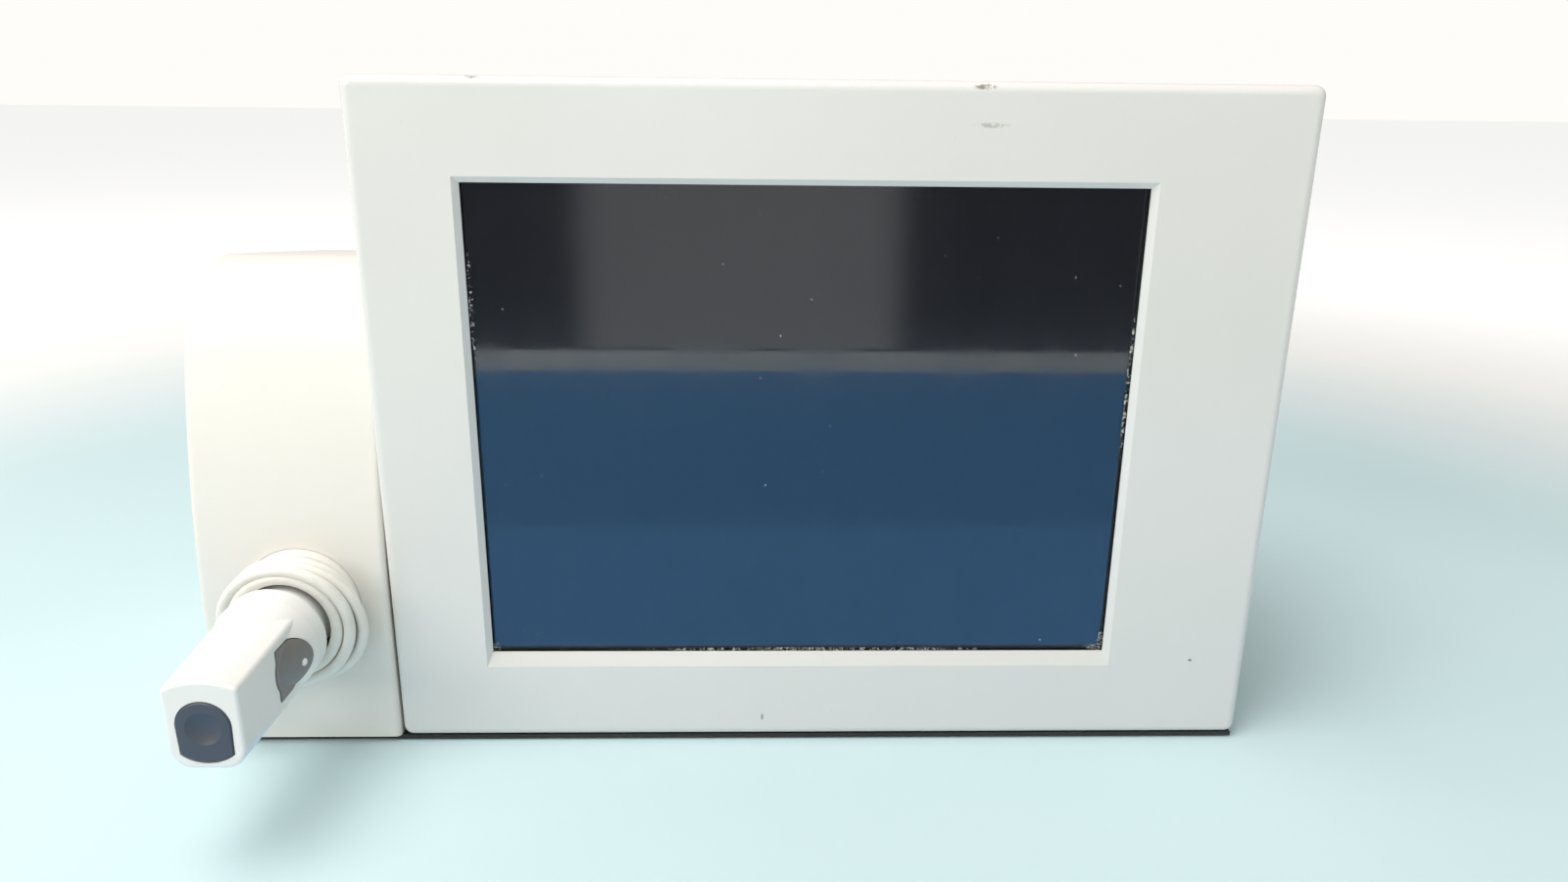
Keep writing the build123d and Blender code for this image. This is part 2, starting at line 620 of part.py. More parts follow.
def power_rocker():
    """Rocker of the power switch, at rest in its off position."""
    outline = Polyline((1.9, -7.6), (0.9, 0), (1.9, 7.6), (-2.6, 7.2), (-5.6, 0), (-2.6, -7.2), close=True)
    key = extrude(make_face(Plane.YZ * outline), SWITCH_W / 2 - 1 - RUN, both=True)
    return Pos(SWITCH_X, ROCKER_PIVOT_Y, INLET_Z) * Rot(-ROCKER_TILT, 0, 0) * key


def video_socket():
    """Fifteen-way video socket on the main board's rear edge."""
    z = BOARD_TOP + 7.0
    body = block(DSUB_X - 15, DSUB_X + 15, BOARD_BACK - 14, COVER_IN - 0.3, BOARD_TOP, BOARD_TOP + 12.5)
    shell = Pos(DSUB_X, (COVER_IN + REAR) / 2 - 0.4, z) * Box(24.6, REAR - COVER_IN + 0.2, 9.2)
    shell = fillet(shell.edges().filter_by(Axis.Y), 2.5)
    return body + shell


def network_socket():
    """Network socket on the main board's rear edge."""
    body = block(LAN_X - LAN_W / 2, LAN_X + LAN_W / 2, BOARD_BACK - LAN_DEPTH, COVER_OUT,
                 BOARD_TOP, BOARD_TOP + LAN_H)
    low = BOARD_TOP + (LAN_H - LAN_CAVITY_H) / 2
    return body - block(LAN_X - LAN_CAVITY_W / 2, LAN_X + LAN_CAVITY_W / 2, COVER_OUT - LAN_DEPTH, REAR,
                        low, low + LAN_CAVITY_H)


# ---------------------------------------------------------------- holder
def holder_cup():
    """Cup that the camera head slides into, with a rim in the wing's face."""
    end = FRONT + CUP_DEPTH
    cup = rod_y(HOLDER_X, HOLDER_Z, FRONT - RIM_PROUD, end, CUP_R)
    rim = rod_y(HOLDER_X, HOLDER_Z, FRONT - RIM_PROUD, FRONT + 5.0, RIM_R)
    rim = fillet(rim.faces().sort_by(Axis.Y)[0].edges(), 1.5)
    cup += rim
    return cup - rod_y(HOLDER_X, HOLDER_Z, FRONT - RIM_PROUD - 1, end - CUP_WALL, CUP_R - CUP_WALL)


def holder_liner():
    """Rubber sleeve in the cup."""
    low, high = FRONT - RIM_PROUD + 1.0, FRONT + CUP_DEPTH - CUP_WALL - SEAT
    sleeve = rod_y(HOLDER_X, HOLDER_Z, low, high, BORE_R + LINER_T)
    return sleeve - rod_y(HOLDER_X, HOLDER_Z, low - 1, high + 1, BORE_R)


# ---------------------------------------------------------------- hand camera
def grip_section(inset, distance, grow, top_grow):
    """Cross-section of the grip: flat sides, crowned top, rounded underside."""
    half = GRIP_HALF_W + grow - inset
    top = GRIP_TOP + top_grow - inset
    low = -(GRIP_LOW - inset)
    lines = ThreePointArc((-half, top - GRIP_CROWN), (0, top), (half, top - GRIP_CROWN))
    lines += Polyline((half, top - GRIP_CROWN), (half, low), (-half, low), (-half, top - GRIP_CROWN))
    face = make_face(lines)
    corners = face.vertices().sort_by(Axis.Y)
    face = fillet(corners[:2], GRIP_LOW_R - inset)
    face = fillet(face.vertices().group_by(Axis.Y)[-1], max(GRIP_TOP_R - inset, 0.3))
    plane = Plane(origin=(HOLDER_X, out(distance), HOLDER_Z), x_dir=(1, 0, 0), z_dir=(0, -1, 0))
    return plane * face


def shoulder_solid(inset):
    """Round shoulder behind the grip, narrowing forward."""
    start = COLLAR_END + inset
    shoulder = rod_y(HOLDER_X, HOLDER_Z, out(start), out(SHOULDER_END), SHOULDER_R - inset)
    length = SHOULDER_TIP - SHOULDER_END
    cone = Cone(SHOULDER_R - inset, SHOULDER_TIP_R - inset, length)
    middle = out(SHOULDER_END + length / 2.0)
    return shoulder + Pos(HOLDER_X, middle, HOLDER_Z) * Rot(90, 0, 0) * cone


def grip_solid(inset):
    """Outer form of the grip and shoulder, drawn in by inset."""
    start = SHOULDER_END - 4.0
    back = grip_section(inset, start, GRIP_GROW, GRIP_TOP_GROW)
    tip = grip_section(inset, REACH - max(inset, 0.0), 0.0, 0.0)
    return loft([back, tip]) + shoulder_solid(inset)


def end_outline(grow):
    """Outline of the end button: round above, pointed corners and a convex edge below."""
    half = END_BUTTON_HALF_W
    middle = END_BUTTON_TOP - half
    lines = ThreePointArc((-half, middle), (0, END_BUTTON_TOP), (half, middle))
    lines += Line((half, middle), (half - END_BUTTON_TAPER, END_BUTTON_CORNER))
    foot = half - END_BUTTON_TAPER
    lines += ThreePointArc((foot, END_BUTTON_CORNER), (0, END_BUTTON_LOW), (-foot, END_BUTTON_CORNER))
    lines += Line((-foot, END_BUTTON_CORNER), (-half, middle))
    face = make_face(lines)
    return offset(face, grow) if grow else face


def end_prism(grow, near, far):
    """Prism of the end button's outline between two distances out of the screen face."""
    plane = Plane(origin=(HOLDER_X, out(near), HOLDER_Z), x_dir=(1, 0, 0), z_dir=(0, -1, 0))
    return extrude(plane * end_outline(grow), far - near)


def side_prism(grow, near, far):
    """Prism of the side button, half round behind its straight front edge, between two X offsets."""
    radius = SIDE_BUTTON_R + grow
    middle = SIDE_BUTTON_BACK + SIDE_BUTTON_R
    edge = SIDE_BUTTON_EDGE + grow
    disc = Pos(HOLDER_X + (near + far) / 2.0, out(middle), HOLDER_Z + SIDE_BUTTON_Z)
    disc = disc * Rot(0, 90, 0) * Cylinder(radius, far - near)
    z0, z1 = HOLDER_Z + SIDE_BUTTON_Z - radius, HOLDER_Z + SIDE_BUTTON_Z + radius
    run = block(HOLDER_X + near, HOLDER_X + far, out(edge), out(middle), z0, z1)
    return disc + run


BUTTON_FIT = 0.35
END_FLANGE_FRONT = REACH - HAND_WALL - BUTTON_FIT
END_BUTTON_BACK = END_FLANGE_FRONT - FLANGE
SWITCH_GAP = 0.25
SWITCH_BODY = 3.5
PLUNGER_R = 1.5
PLUNGER_L = 1.0
SPIGOT_R = COLLAR_R - 2.2
HEAD_BORE_R = CAMERA_HEAD_R - HAND_WALL
HEAD_START = -2.0
HEAD_END = HEAD_START - CAMERA_HEAD_L


def grip_shell():
    """Hollow grip moulding with the openings for its two buttons."""
    outer = grip_solid(0.0)
    rim = outer.faces().sort_by(Axis.Y)[0].edges()
    outer = fillet(rim, GRIP_FRONT_R)
    shell = outer - grip_solid(HAND_WALL)
    shell -= rod_y(HOLDER_X, HOLDER_Z, out(COLLAR_END - 1), out(COLLAR_END + HAND_WALL + 1), SPIGOT_R + 0.1)
    shell -= end_prism(BUTTON_FIT, REACH - 2 * HAND_WALL, REACH + 1)
    return shell - side_prism(BUTTON_FIT, 8.0, SHOULDER_R + 4.0)


def end_button():
    """Button in the grip's end, with a round finger dimple and a flange behind the shell."""
    button = end_prism(0.0, END_BUTTON_BACK, REACH + BUTTON_PROUD)
    button = chamfer(button.faces().sort_by(Axis.Y)[0].edges(), 0.4)
    button += end_prism(FLANGE, END_BUTTON_BACK, END_FLANGE_FRONT) & grip_solid(HAND_WALL + BUTTON_FIT)
    ball_r = (DIMPLE_R ** 2 + DIMPLE_DEPTH ** 2) / (2 * DIMPLE_DEPTH)
    ball_y = out(REACH + BUTTON_PROUD + ball_r - DIMPLE_DEPTH)
    return button - Pos(HOLDER_X, ball_y, HOLDER_Z + DIMPLE_Z) * Sphere(ball_r)


def side_button():
    """Button in the grip's right flank; its face follows the shoulder."""
    key = side_prism(0.0, 8.0, SHOULDER_R + 4.0)
    key &= grip_solid(-BUTTON_PROUD)
    key -= grip_solid(HAND_WALL + BUTTON_FIT + FLANGE)
    rim = side_prism(FLANGE, 8.0, SHOULDER_R + 4.0) & grip_solid(HAND_WALL + BUTTON_FIT)
    rim -= grip_solid(HAND_WALL + BUTTON_FIT + FLANGE)
    stem_x = SIDE_BOARD_X + BOARD_T + SWITCH_BODY + PLUNGER_L + SWITCH_GAP + BUTTON_TRAVEL
    middle = out(SIDE_BUTTON_BACK + SIDE_BUTTON_R)
    stem = Pos(HOLDER_X + stem_x + 2.5, middle, HOLDER_Z + SIDE_BUTTON_Z) * Rot(0, 90, 0) * Cylinder(2.0, 5.0)
    return key + rim + stem


SIDE_BOARD_X = 0.5


def grip_board():
    """Board along the grip that carries the side switch."""
    return block(HOLDER_X + SIDE_BOARD_X, HOLDER_X + SIDE_BOARD_X + BOARD_T, out(68.0), out(31.0),
                 HOLDER_Z - 9.0, HOLDER_Z + 8.0)


def side_switch():
    """Push switch under the side button."""
    x = HOLDER_X + SIDE_BOARD_X + BOARD_T
    middle = out(SIDE_BUTTON_BACK + SIDE_BUTTON_R)
    z = HOLDER_Z + SIDE_BUTTON_Z
    body = block(x, x + SWITCH_BODY, middle - 3, middle + 3, z - 3, z + 3)
    plunger = Pos(x + SWITCH_BODY + PLUNGER_L / 2, middle, z) * Rot(0, 90, 0) * Cylinder(PLUNGER_R, PLUNGER_L)
    return body + plunger


END_PLUNGER = END_BUTTON_BACK - BUTTON_TRAVEL - SWITCH_GAP
END_SWITCH_BACK = END_PLUNGER - PLUNGER_L - SWITCH_BODY


def end_board():
    """Board across the grip behind the end button."""
    return block(HOLDER_X - 8.5, HOLDER_X + 8.5, out(END_SWITCH_BACK), out(END_SWITCH_BACK - BOARD_T),
                 HOLDER_Z - 11.0, HOLDER_Z + 7.0)


def end_switch():
    """Push switch under the end button."""
    z = HOLDER_Z + DIMPLE_Z
    front = out(END_SWITCH_BACK + SWITCH_BODY)
    body = block(HOLDER_X - 3, HOLDER_X + 3, front, out(END_SWITCH_BACK), z - 3, z + 3)
    return body + rod_y(HOLDER_X, z, out(END_PLUNGER), out(END_PLUNGER - PLUNGER_L), PLUNGER_R)


def neck_collar():
    """Tube that joins camera head and grip; the cord is wound round it."""
    collar = rod_y(HOLDER_X, HOLDER_Z, out(COLLAR_END), out(HEAD_START), COLLAR_R)
    collar += rod_y(HOLDER_X, HOLDER_Z, out(COLLAR_END + 4.0), out(COLLAR_END), SPIGOT_R)
    collar += rod_y(HOLDER_X, HOLDER_Z, out(HEAD_START), out(HEAD_START - 6.0), HEAD_BORE_R - 0.1)
    return collar - rod_y(HOLDER_X, HOLDER_Z, out(COLLAR_END + 5.0), out(HEAD_START - 7.0), COLLAR_R - 4.0)


def camera_head():
    """Round housing of the camera, which stands in the holder."""
    head = rod_y(HOLDER_X, HOLDER_Z, out(HEAD_START), out(HEAD_END), CAMERA_HEAD_R)
    head = chamfer(head.faces().sort_by(Axis.Y)[-1].edges(), 0.8)
    return head - rod_y(HOLDER_X, HOLDER_Z, out(HEAD_START + 1), out(HEAD_END - 1), HEAD_BORE_R)


def ring_y(distance, depth, outer_r, inner_r):
    """Ring or disc around the hand camera's axis, its near side this far out of the screen face."""
    ring = rod_y(HOLDER_X, HOLDER_Z, out(distance), out(distance - depth), outer_r)
    if inner_r:
        ring -= rod_y(HOLDER_X, HOLDER_Z, out(distance + 1), out(distance - depth - 1), inner_r)
    return ring


def lens_window():
    """Clear disc that closes the camera head."""
    return ring_y(HEAD_END + 2.2, 2.0, HEAD_BORE_R - 0.1, 0)


def lens_barrel():
    """Tube that holds the lens."""
    return ring_y(HEAD_END + 19.0, 15.0, 6.5, 5.0)


def lens_glass():
    """Front lens in the barrel."""
    return ring_y(HEAD_END + 8.0, 3.0, 4.9, 0)


def led_ring():
    """Ring board with its lamps round the lens."""
    ring = ring_y(HEAD_END + 6.0, 1.2, HEAD_BORE_R - 0.3, 7.2)
    half = LED_SIZE / 2.0
    pitch = HEAD_BORE_R - LED_EDGE - half * math.sqrt(2.0)
    for index in range(LED_COUNT):
        angle = 2.0 * math.pi * index / LED_COUNT
        x, z = HOLDER_X + pitch * math.cos(angle), HOLDER_Z + pitch * math.sin(angle)
        ring += block(x - half, x + half, out(HEAD_END + 4.8), out(HEAD_END + 3.8), z - half, z + half)
    return ring


def camera_board():
    """Sensor board behind the lens."""
    board = ring_y(HEAD_END + 22.0 + BOARD_T, BOARD_T, HEAD_BORE_R - 0.3, 0)
    sensor_y = out(HEAD_END + 22.0)
    return board + block(HOLDER_X - 3, HOLDER_X + 3, sensor_y, sensor_y + 1.2, HOLDER_Z - 3, HOLDER_Z + 3)


# ---------------------------------------------------------------- cord
def tube(points):
    """Cord along hand-set points, each corner as round as its shorter run allows, and those radii."""
    places = [Vector(*point) for point in points]
    radii = []
    for before, corner, after in zip(places, places[1:], places[2:]):
        run_in, run_out = corner - before, after - corner
        turn = math.radians(run_in.get_angle(run_out))
        radii.append(0.45 * min(run_in.length, run_out.length) / math.tan(turn / 2.0))
    path = FilletPolyline(*places, radius=radii)
    section = Plane(origin=places[0], z_dir=places[1] - places[0]) * Circle(CORD_D / 2.0)
    solid = sweep(section, path=path)
    length = path.length
    share = solid.volume / (math.pi * (CORD_D / 2.0) ** 2 * length)
    print("cord: length %.1f, radii %s, volume share %.4f" % (length, [round(r, 1) for r in radii], share))
    return solid


def cord_lead_in():
    """Cord from the gland to the coil."""
    return tube(LEAD_IN)


def cord_lead_out():
    """Cord from the coil to the boot on the collar."""
    return tube(LEAD_OUT)


def cord_coil():
    """Outer shape of the turns wound round the collar."""
    ring = ring_y(COIL_END, COIL_END - COIL_START, COIL_OUT_R, COIL_IN_R)
    ring = fillet(ring.edges().filter_by(GeomType.CIRCLE), CORD_D * 0.45)
    return Pos(COIL_DX, 0, COIL_DZ) * ring


def cord_boot():
    """Right-angle strain relief under the collar."""
    start = Vector(*LEAD_OUT[0])
    way = Vector(*LEAD_OUT[1]) - start
    post = rod_z(HOLDER_X, start.Y, start.Z - 1.0, HOLDER_Z - COLLAR_R + 0.4, 2.9)
    nose = extrude(Plane(origin=start, z_dir=way * -1) * Circle(CORD_D / 2.0 + 0.6), 3.5)
    return (post + nose) - rod_y(HOLDER_X, HOLDER_Z, out(COLLAR_END), out(HEAD_START), COLLAR_R)


def cord_gland():
    """Right-angle strain relief where the cord goes into the wing."""
    start = Vector(*LEAD_IN[0])
    way = (Vector(*LEAD_IN[1]) - start).normalized()
    x, z = HOLDER_X + GLAND_DX, HOLDER_Z + GLAND_DZ
    body = rod_y(x, z, start.Y - CORD_D / 2.0 - 1.8, FRONT - 0.1, GLAND_R)
    body = fillet(body.faces().sort_by(Axis.Y)[0].edges(), 1.5)
    body += rod_y(x, z, FRONT - 0.1, FRONT + WALL + 1.5, GLAND_R - 1.5)
    nose = Plane(origin=start, z_dir=way * -1) * Circle(CORD_D / 2.0 + 1.0)
    return body + extrude(nose, GLAND_LEAD_FREE - 1.0)


PIECES = {
    "body_shell": body_shell, "rear_cover": rear_cover, "cover_screws": cover_screws,
    "base_plate": base_plate, "rubber_feet": rubber_feet, "base_rails": base_rails, "base_screws": base_screws,
    "front_bezel": front_bezel, "head_back": head_back, "screen_gasket": screen_gasket,
    "touch_glass": touch_glass, "lcd_module": lcd_module, "lcd_tray": lcd_tray, "tray_screws": tray_screws,
    "inverter_board": inverter_board, "head_bracket": head_bracket, "bracket_screws": bracket_screws,
    "main_board": main_board, "board_posts": board_posts, "board_screws": board_screws, "heat_sink": heat_sink,
    "power_supply": power_supply, "supply_feet": supply_feet,
    "mains_inlet": mains_inlet, "inlet_pins": inlet_pins, "switch_housing": switch_housing,
    "power_rocker": power_rocker, "video_socket": video_socket, "network_socket": network_socket,
    "holder_cup": holder_cup, "holder_liner": holder_liner, "cord_gland": cord_gland,
    "grip_shell": grip_shell, "end_button": end_button, "side_button": side_button,
    "grip_board": grip_board, "side_switch": side_switch, "end_board": end_board, "end_switch": end_switch,
    "neck_collar": neck_collar, "camera_head": camera_head, "led_ring": led_ring, "camera_board": camera_board,
    "lens_window": lens_window, "lens_barrel": lens_barrel, "lens_glass": lens_glass,
    "cord_boot": cord_boot, "cord_coil": cord_coil, "cord_lead_in": cord_lead_in, "cord_lead_out": cord_lead_out,
}

for node, make in PIECES.items():
    export_step(make(), "parts/" + node + ".step")
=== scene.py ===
"""Looks of a desktop video magnifier: a flat screen head in front of a low curved case, with a
hand camera in a holder at the left. Metres, +Z up, +X to the viewer's right, +Y to the rear."""

import logging
import math
from dataclasses import dataclass
from enum import Enum
from typing import Optional, Sequence, Union

import bmesh
import bpy
from mathutils import Matrix, Vector

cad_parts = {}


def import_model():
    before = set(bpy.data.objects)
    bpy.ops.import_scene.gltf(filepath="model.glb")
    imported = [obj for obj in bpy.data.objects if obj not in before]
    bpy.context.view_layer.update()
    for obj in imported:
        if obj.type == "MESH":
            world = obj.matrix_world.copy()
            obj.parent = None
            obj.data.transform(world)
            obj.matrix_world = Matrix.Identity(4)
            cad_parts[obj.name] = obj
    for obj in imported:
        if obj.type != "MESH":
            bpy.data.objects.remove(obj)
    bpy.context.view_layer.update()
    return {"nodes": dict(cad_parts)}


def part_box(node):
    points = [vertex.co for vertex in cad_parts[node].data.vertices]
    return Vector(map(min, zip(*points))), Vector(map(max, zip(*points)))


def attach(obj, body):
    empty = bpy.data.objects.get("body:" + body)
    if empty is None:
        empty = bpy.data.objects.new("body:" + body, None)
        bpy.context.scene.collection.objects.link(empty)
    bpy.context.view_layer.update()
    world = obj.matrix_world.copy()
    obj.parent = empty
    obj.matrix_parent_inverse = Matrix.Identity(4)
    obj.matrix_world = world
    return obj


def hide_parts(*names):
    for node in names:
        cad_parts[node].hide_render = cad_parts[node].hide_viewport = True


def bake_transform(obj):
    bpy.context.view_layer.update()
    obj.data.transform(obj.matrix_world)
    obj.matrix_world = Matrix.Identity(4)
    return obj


LOG = logging.getLogger("magnifier")
MM = 0.001
SCREEN_FACE = -42.5  # Y of the screen face, millimetres

Triple = tuple[float, float, float]  # a place, a size or a colour
Socket = bpy.types.NodeSocket
Paint = Union[Socket, Triple]


def at(x: float, y: float, z: float) -> Vector:
    """Point given in millimetres, in metres."""
    return Vector((x * MM, y * MM, z * MM))


def out(distance: float) -> float:
    """Y in millimetres of a place this far out of the screen face."""
    return SCREEN_FACE - distance


class Body(str, Enum):
    """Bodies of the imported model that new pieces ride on."""

    BASE = "base_unit"
    HAND = "hand_camera"
    SIDE_KEY = "side_button"


class Slot(str, Enum):
    """Names of material slots in the imported model."""

    HAND = "hand_white"
    CORD = "cord_white"
    BLACK = "black_plastic"
    METAL = "pin_metal"
    WINDOW = "clear_window"


# ---------------------------------------------------------------- finishes
class Shader:
    """A material's node tree with one Principled shader; its patterns are sized in millimetres."""

    SPOT_CORE = 0.7  # share of a speck's radius that is solid
    SPOT_FULL = 0.35  # value of the ball gradient from which a soft spot is full

    def __init__(self, name: str) -> None:
        """Start a material with a bare Principled shader.

        Args:
            name: name of the material.
        """
        self.material = bpy.data.materials.new(name)
        self.material.use_nodes = True
        self.tree = self.material.node_tree
        self.tree.nodes.clear()
        self.bsdf = self.tree.nodes.new("ShaderNodeBsdfPrincipled")
        output = self.tree.nodes.new("ShaderNodeOutputMaterial")
        self.wire(self.bsdf.outputs["BSDF"], output.inputs["Surface"])
        self.place = self.tree.nodes.new("ShaderNodeTexCoord").outputs["Object"]
        self.last_bump: Optional[Socket] = None

    def wire(self, source: Socket, target: Socket) -> None:
        """Join two sockets."""
        self.tree.links.new(source, target)

    def constants(self, **values: object) -> None:
        """Set the shader's own sockets.

        Args:
            values: socket names with underscores for spaces, and their numbers or colours.
        """
        for name, value in values.items():
            self.bsdf.inputs[name.replace("_", " ")].default_value = value

    def stretched(self, scale: Triple, turn: float = 0.0) -> Socket:
        """Object coordinates, scaled and turned about Y.

        Args:
            scale: factor along each axis.
            turn: turn about Y in degrees.
        Returns:
            The vector socket.
        """
        node = self.tree.nodes.new("ShaderNodeMapping")
        node.inputs["Scale"].default_value = scale
        node.inputs["Rotation"].default_value = (0.0, math.radians(turn), 0.0)
        self.wire(self.place, node.inputs["Vector"])
        return node.outputs["Vector"]

    def noise(
        self,
        size_mm: float,
        detail: float = 3.0,
        roughness: float = 0.5,
        vector: Optional[Socket] = None,
    ) -> Socket:
        """Noise with features of about this size.

        Args:
            size_mm: size of the largest features.
            detail: octaves.
            roughness: weight of the finer octaves.
            vector: coordinates, or None for the object's own.
        Returns:
            The value socket.
        """
        node = self.tree.nodes.new("ShaderNodeTexNoise")
        node.inputs["Scale"].default_value = 1.0 / (size_mm * MM)
        node.inputs["Detail"].default_value = detail
        node.inputs["Roughness"].default_value = roughness
        self.wire(vector or self.place, node.inputs["Vector"])
        return node.outputs["Fac"]

    def specks(self, pitch_mm: float, share: float) -> Socket:
        """Small soft-edged spots scattered over the surface.

        Args:
            pitch_mm: usual distance between two spots.
            share: spot radius as a share of that distance.
        Returns:
            A socket that is 1 on a spot and 0 elsewhere.
        """
        node = self.tree.nodes.new("ShaderNodeTexVoronoi")
        node.inputs["Scale"].default_value = 1.0 / (pitch_mm * MM)
        self.wire(self.place, node.inputs["Vector"])
        return self.ramp(node.outputs["Distance"], share * self.SPOT_CORE, share, 1.0, 0.0)

    def ramp(
        self, value: Socket, low: float, high: float, first: float = 0.0, last: float = 1.0
    ) -> Socket:
        """Map a range of a value smoothly to another range.

        Args:
            value: socket to map.
            low: value that gives first.
            high: value that gives last.
            first: result at low and below.
            last: result at high and above.
        Returns:
            The mapped socket.
        """
        node = self.tree.nodes.new("ShaderNodeMapRange")
        node.interpolation_type = "SMOOTHSTEP"
        node.inputs["From Min"].default_value = low
        node.inputs["From Max"].default_value = high
        node.inputs["To Min"].default_value = first
        node.inputs["To Max"].default_value = last
        self.wire(value, node.inputs["Value"])
        return node.outputs["Result"]

    def combine(self, operation: str, first: Socket, second: Socket) -> Socket:
        """Work out one value from two.

        Args:
            operation: what the Math node does with them.
            first: one value.
            second: the other.
        Returns:
            The value socket.
        """
        node = self.tree.nodes.new("ShaderNodeMath")
        node.operation = operation
        self.wire(first, node.inputs[0])
        self.wire(second, node.inputs[1])
        return node.outputs["Value"]

    def times(self, first: Socket, second: Socket) -> Socket:
        """Product of two values."""
        return self.combine("MULTIPLY", first, second)

    def larger(self, first: Socket, second: Socket) -> Socket:
        """Larger of two values."""
        return self.combine("MAXIMUM", first, second)

    def blend(self, share: Socket, first: Paint, second: Paint) -> Socket:
        """Mix two colours, each a socket or a triple.

        Args:
            share: how much of the second.
            first: colour where share is 0.
            second: colour where share is 1.
        Returns:
            The colour socket.
        """
        node = self.tree.nodes.new("ShaderNodeMix")
        node.data_type = "RGBA"
        self.wire(share, node.inputs["Factor"])
        colour_a, colour_b, mixed = node.inputs[6], node.inputs[7], node.outputs[2]
        for socket, colour in ((colour_a, first), (colour_b, second)):
            if isinstance(colour, Socket):
                self.wire(colour, socket)
            else:
                socket.default_value = (*colour, 1.0)
        return mixed

    def raise_by(self, height: Socket, depth_mm: float, strength: float = 1.0) -> None:
        """Add a bump to the surface.

        Args:
            height: socket from 0 to 1.
            depth_mm: height of 1, in millimetres.
            strength: share of the bump that is used.
        """
        node = self.tree.nodes.new("ShaderNodeBump")
        node.inputs["Distance"].default_value = depth_mm * MM
        node.inputs["Strength"].default_value = strength
        self.wire(height, node.inputs["Height"])
        if self.last_bump is not None:
            self.wire(self.last_bump, node.inputs["Normal"])
        self.last_bump = node.outputs["Normal"]
        self.wire(self.last_bump, self.bsdf.inputs["Normal"])

    def near(self, spot: Triple, reach: Triple) -> Socket:
        """Soft spot around a place.

        Args:
            spot: middle, in millimetres.
            reach: half size along each axis, in millimetres.
        Returns:
            A socket that is 1 in the middle and 0 outside.
        """
        node = self.tree.nodes.new("ShaderNodeMapping")
        node.vector_type = "TEXTURE"
        node.inputs["Location"].default_value = [s * MM for s in spot]
        node.inputs["Scale"].default_value = [r * MM for r in reach]
        self.wire(self.place, node.inputs["Vector"])
        ball = self.tree.nodes.new("ShaderNodeTexGradient")
        ball.gradient_type = "QUADRATIC_SPHERE"
        self.wire(node.outputs["Vector"], ball.inputs["Vector"])
        return self.ramp(ball.outputs["Fac"], 0.0, self.SPOT_FULL)


@dataclass(frozen=True)
class Mark:
    """Small scuff or dirty spot on a moulding."""

    spot: Triple
    reach: Triple
    colour: Triple = (0.25, 0.24, 0.22)
    grain_mm: float = 1.6


@dataclass(frozen=True)
class MouldedPlastic:
    """Satin moulded plastic with a fine spark grain, handling marks and a little dirt."""

    name: str
    colour: Triple
    tint: Triple
    gloss: float = 0.3
    grain_mm: float = 0.55
    grain_depth: float = 0.012
    dirt: Triple = (0.55, 0.52, 0.45)
    dirt_share: float = 0.25
    marks: tuple[Mark, ...] = ()
    mottle_mm: float = 90.0
    film_mm: float = 21.0
    pepper_mm: float = 7.0
    pepper_spot: float = 0.045
    pepper_share: float = 0.45
    pepper_patch_mm: float = 30.0
    rub_mm: float = 24.0
    rub_gloss: tuple[float, float] = (0.93, 1.08)
    hairline_mm: float = 2.2
    hairline_stretch: Triple = (1.0, 1.0, 0.03)
    hairline_turn: float = 38.0
    hairline_depth: float = 0.006

    def build(self) -> bpy.types.Material:
        """Make the material.

        Returns:
            The finished material.
        """
        shader = Shader(self.name)
        mottle = shader.ramp(shader.noise(self.mottle_mm, 3.0, 0.5), 0.3, 0.72)
        colour = shader.blend(mottle, self.colour, self.tint)
        film = shader.noise(self.film_mm, 8.0, 0.72)
        film = shader.ramp(film, 0.56, 0.8, 0.0, self.dirt_share)
        colour = shader.blend(film, colour, self.dirt)
        dots = shader.specks(self.pepper_mm, self.pepper_spot)
        pepper = shader.times(dots, shader.ramp(shader.noise(self.pepper_patch_mm, 2.0), 0.52, 0.6))
        pepper = shader.ramp(pepper, 0.0, 1.0, 0.0, self.pepper_share)
        colour = shader.blend(pepper, colour, self.dirt)
        for mark in self.marks:
            rough = shader.ramp(shader.noise(mark.grain_mm, 4.0, 0.7), 0.42, 0.58)
            scuff = shader.times(shader.near(mark.spot, mark.reach), rough)
            colour = shader.blend(scuff, colour, mark.colour)
        shader.wire(colour, shader.bsdf.inputs["Base Color"])
        low, high = (self.gloss * share for share in self.rub_gloss)
        rub = shader.ramp(shader.noise(self.rub_mm, 5.0, 0.6), 0.3, 0.7, low, high)
        shader.wire(rub, shader.bsdf.inputs["Roughness"])
        shader.constants(IOR=1.49)
        shader.raise_by(shader.noise(self.grain_mm, 2.0, 0.6), self.grain_depth, 0.6)
        along = shader.stretched(self.hairline_stretch, self.hairline_turn)
        hairlines = shader.noise(self.hairline_mm, 2.0, 0.5, along)
        shader.raise_by(shader.ramp(hairlines, 0.66, 0.7), self.hairline_depth, 0.35)
        return shader.material


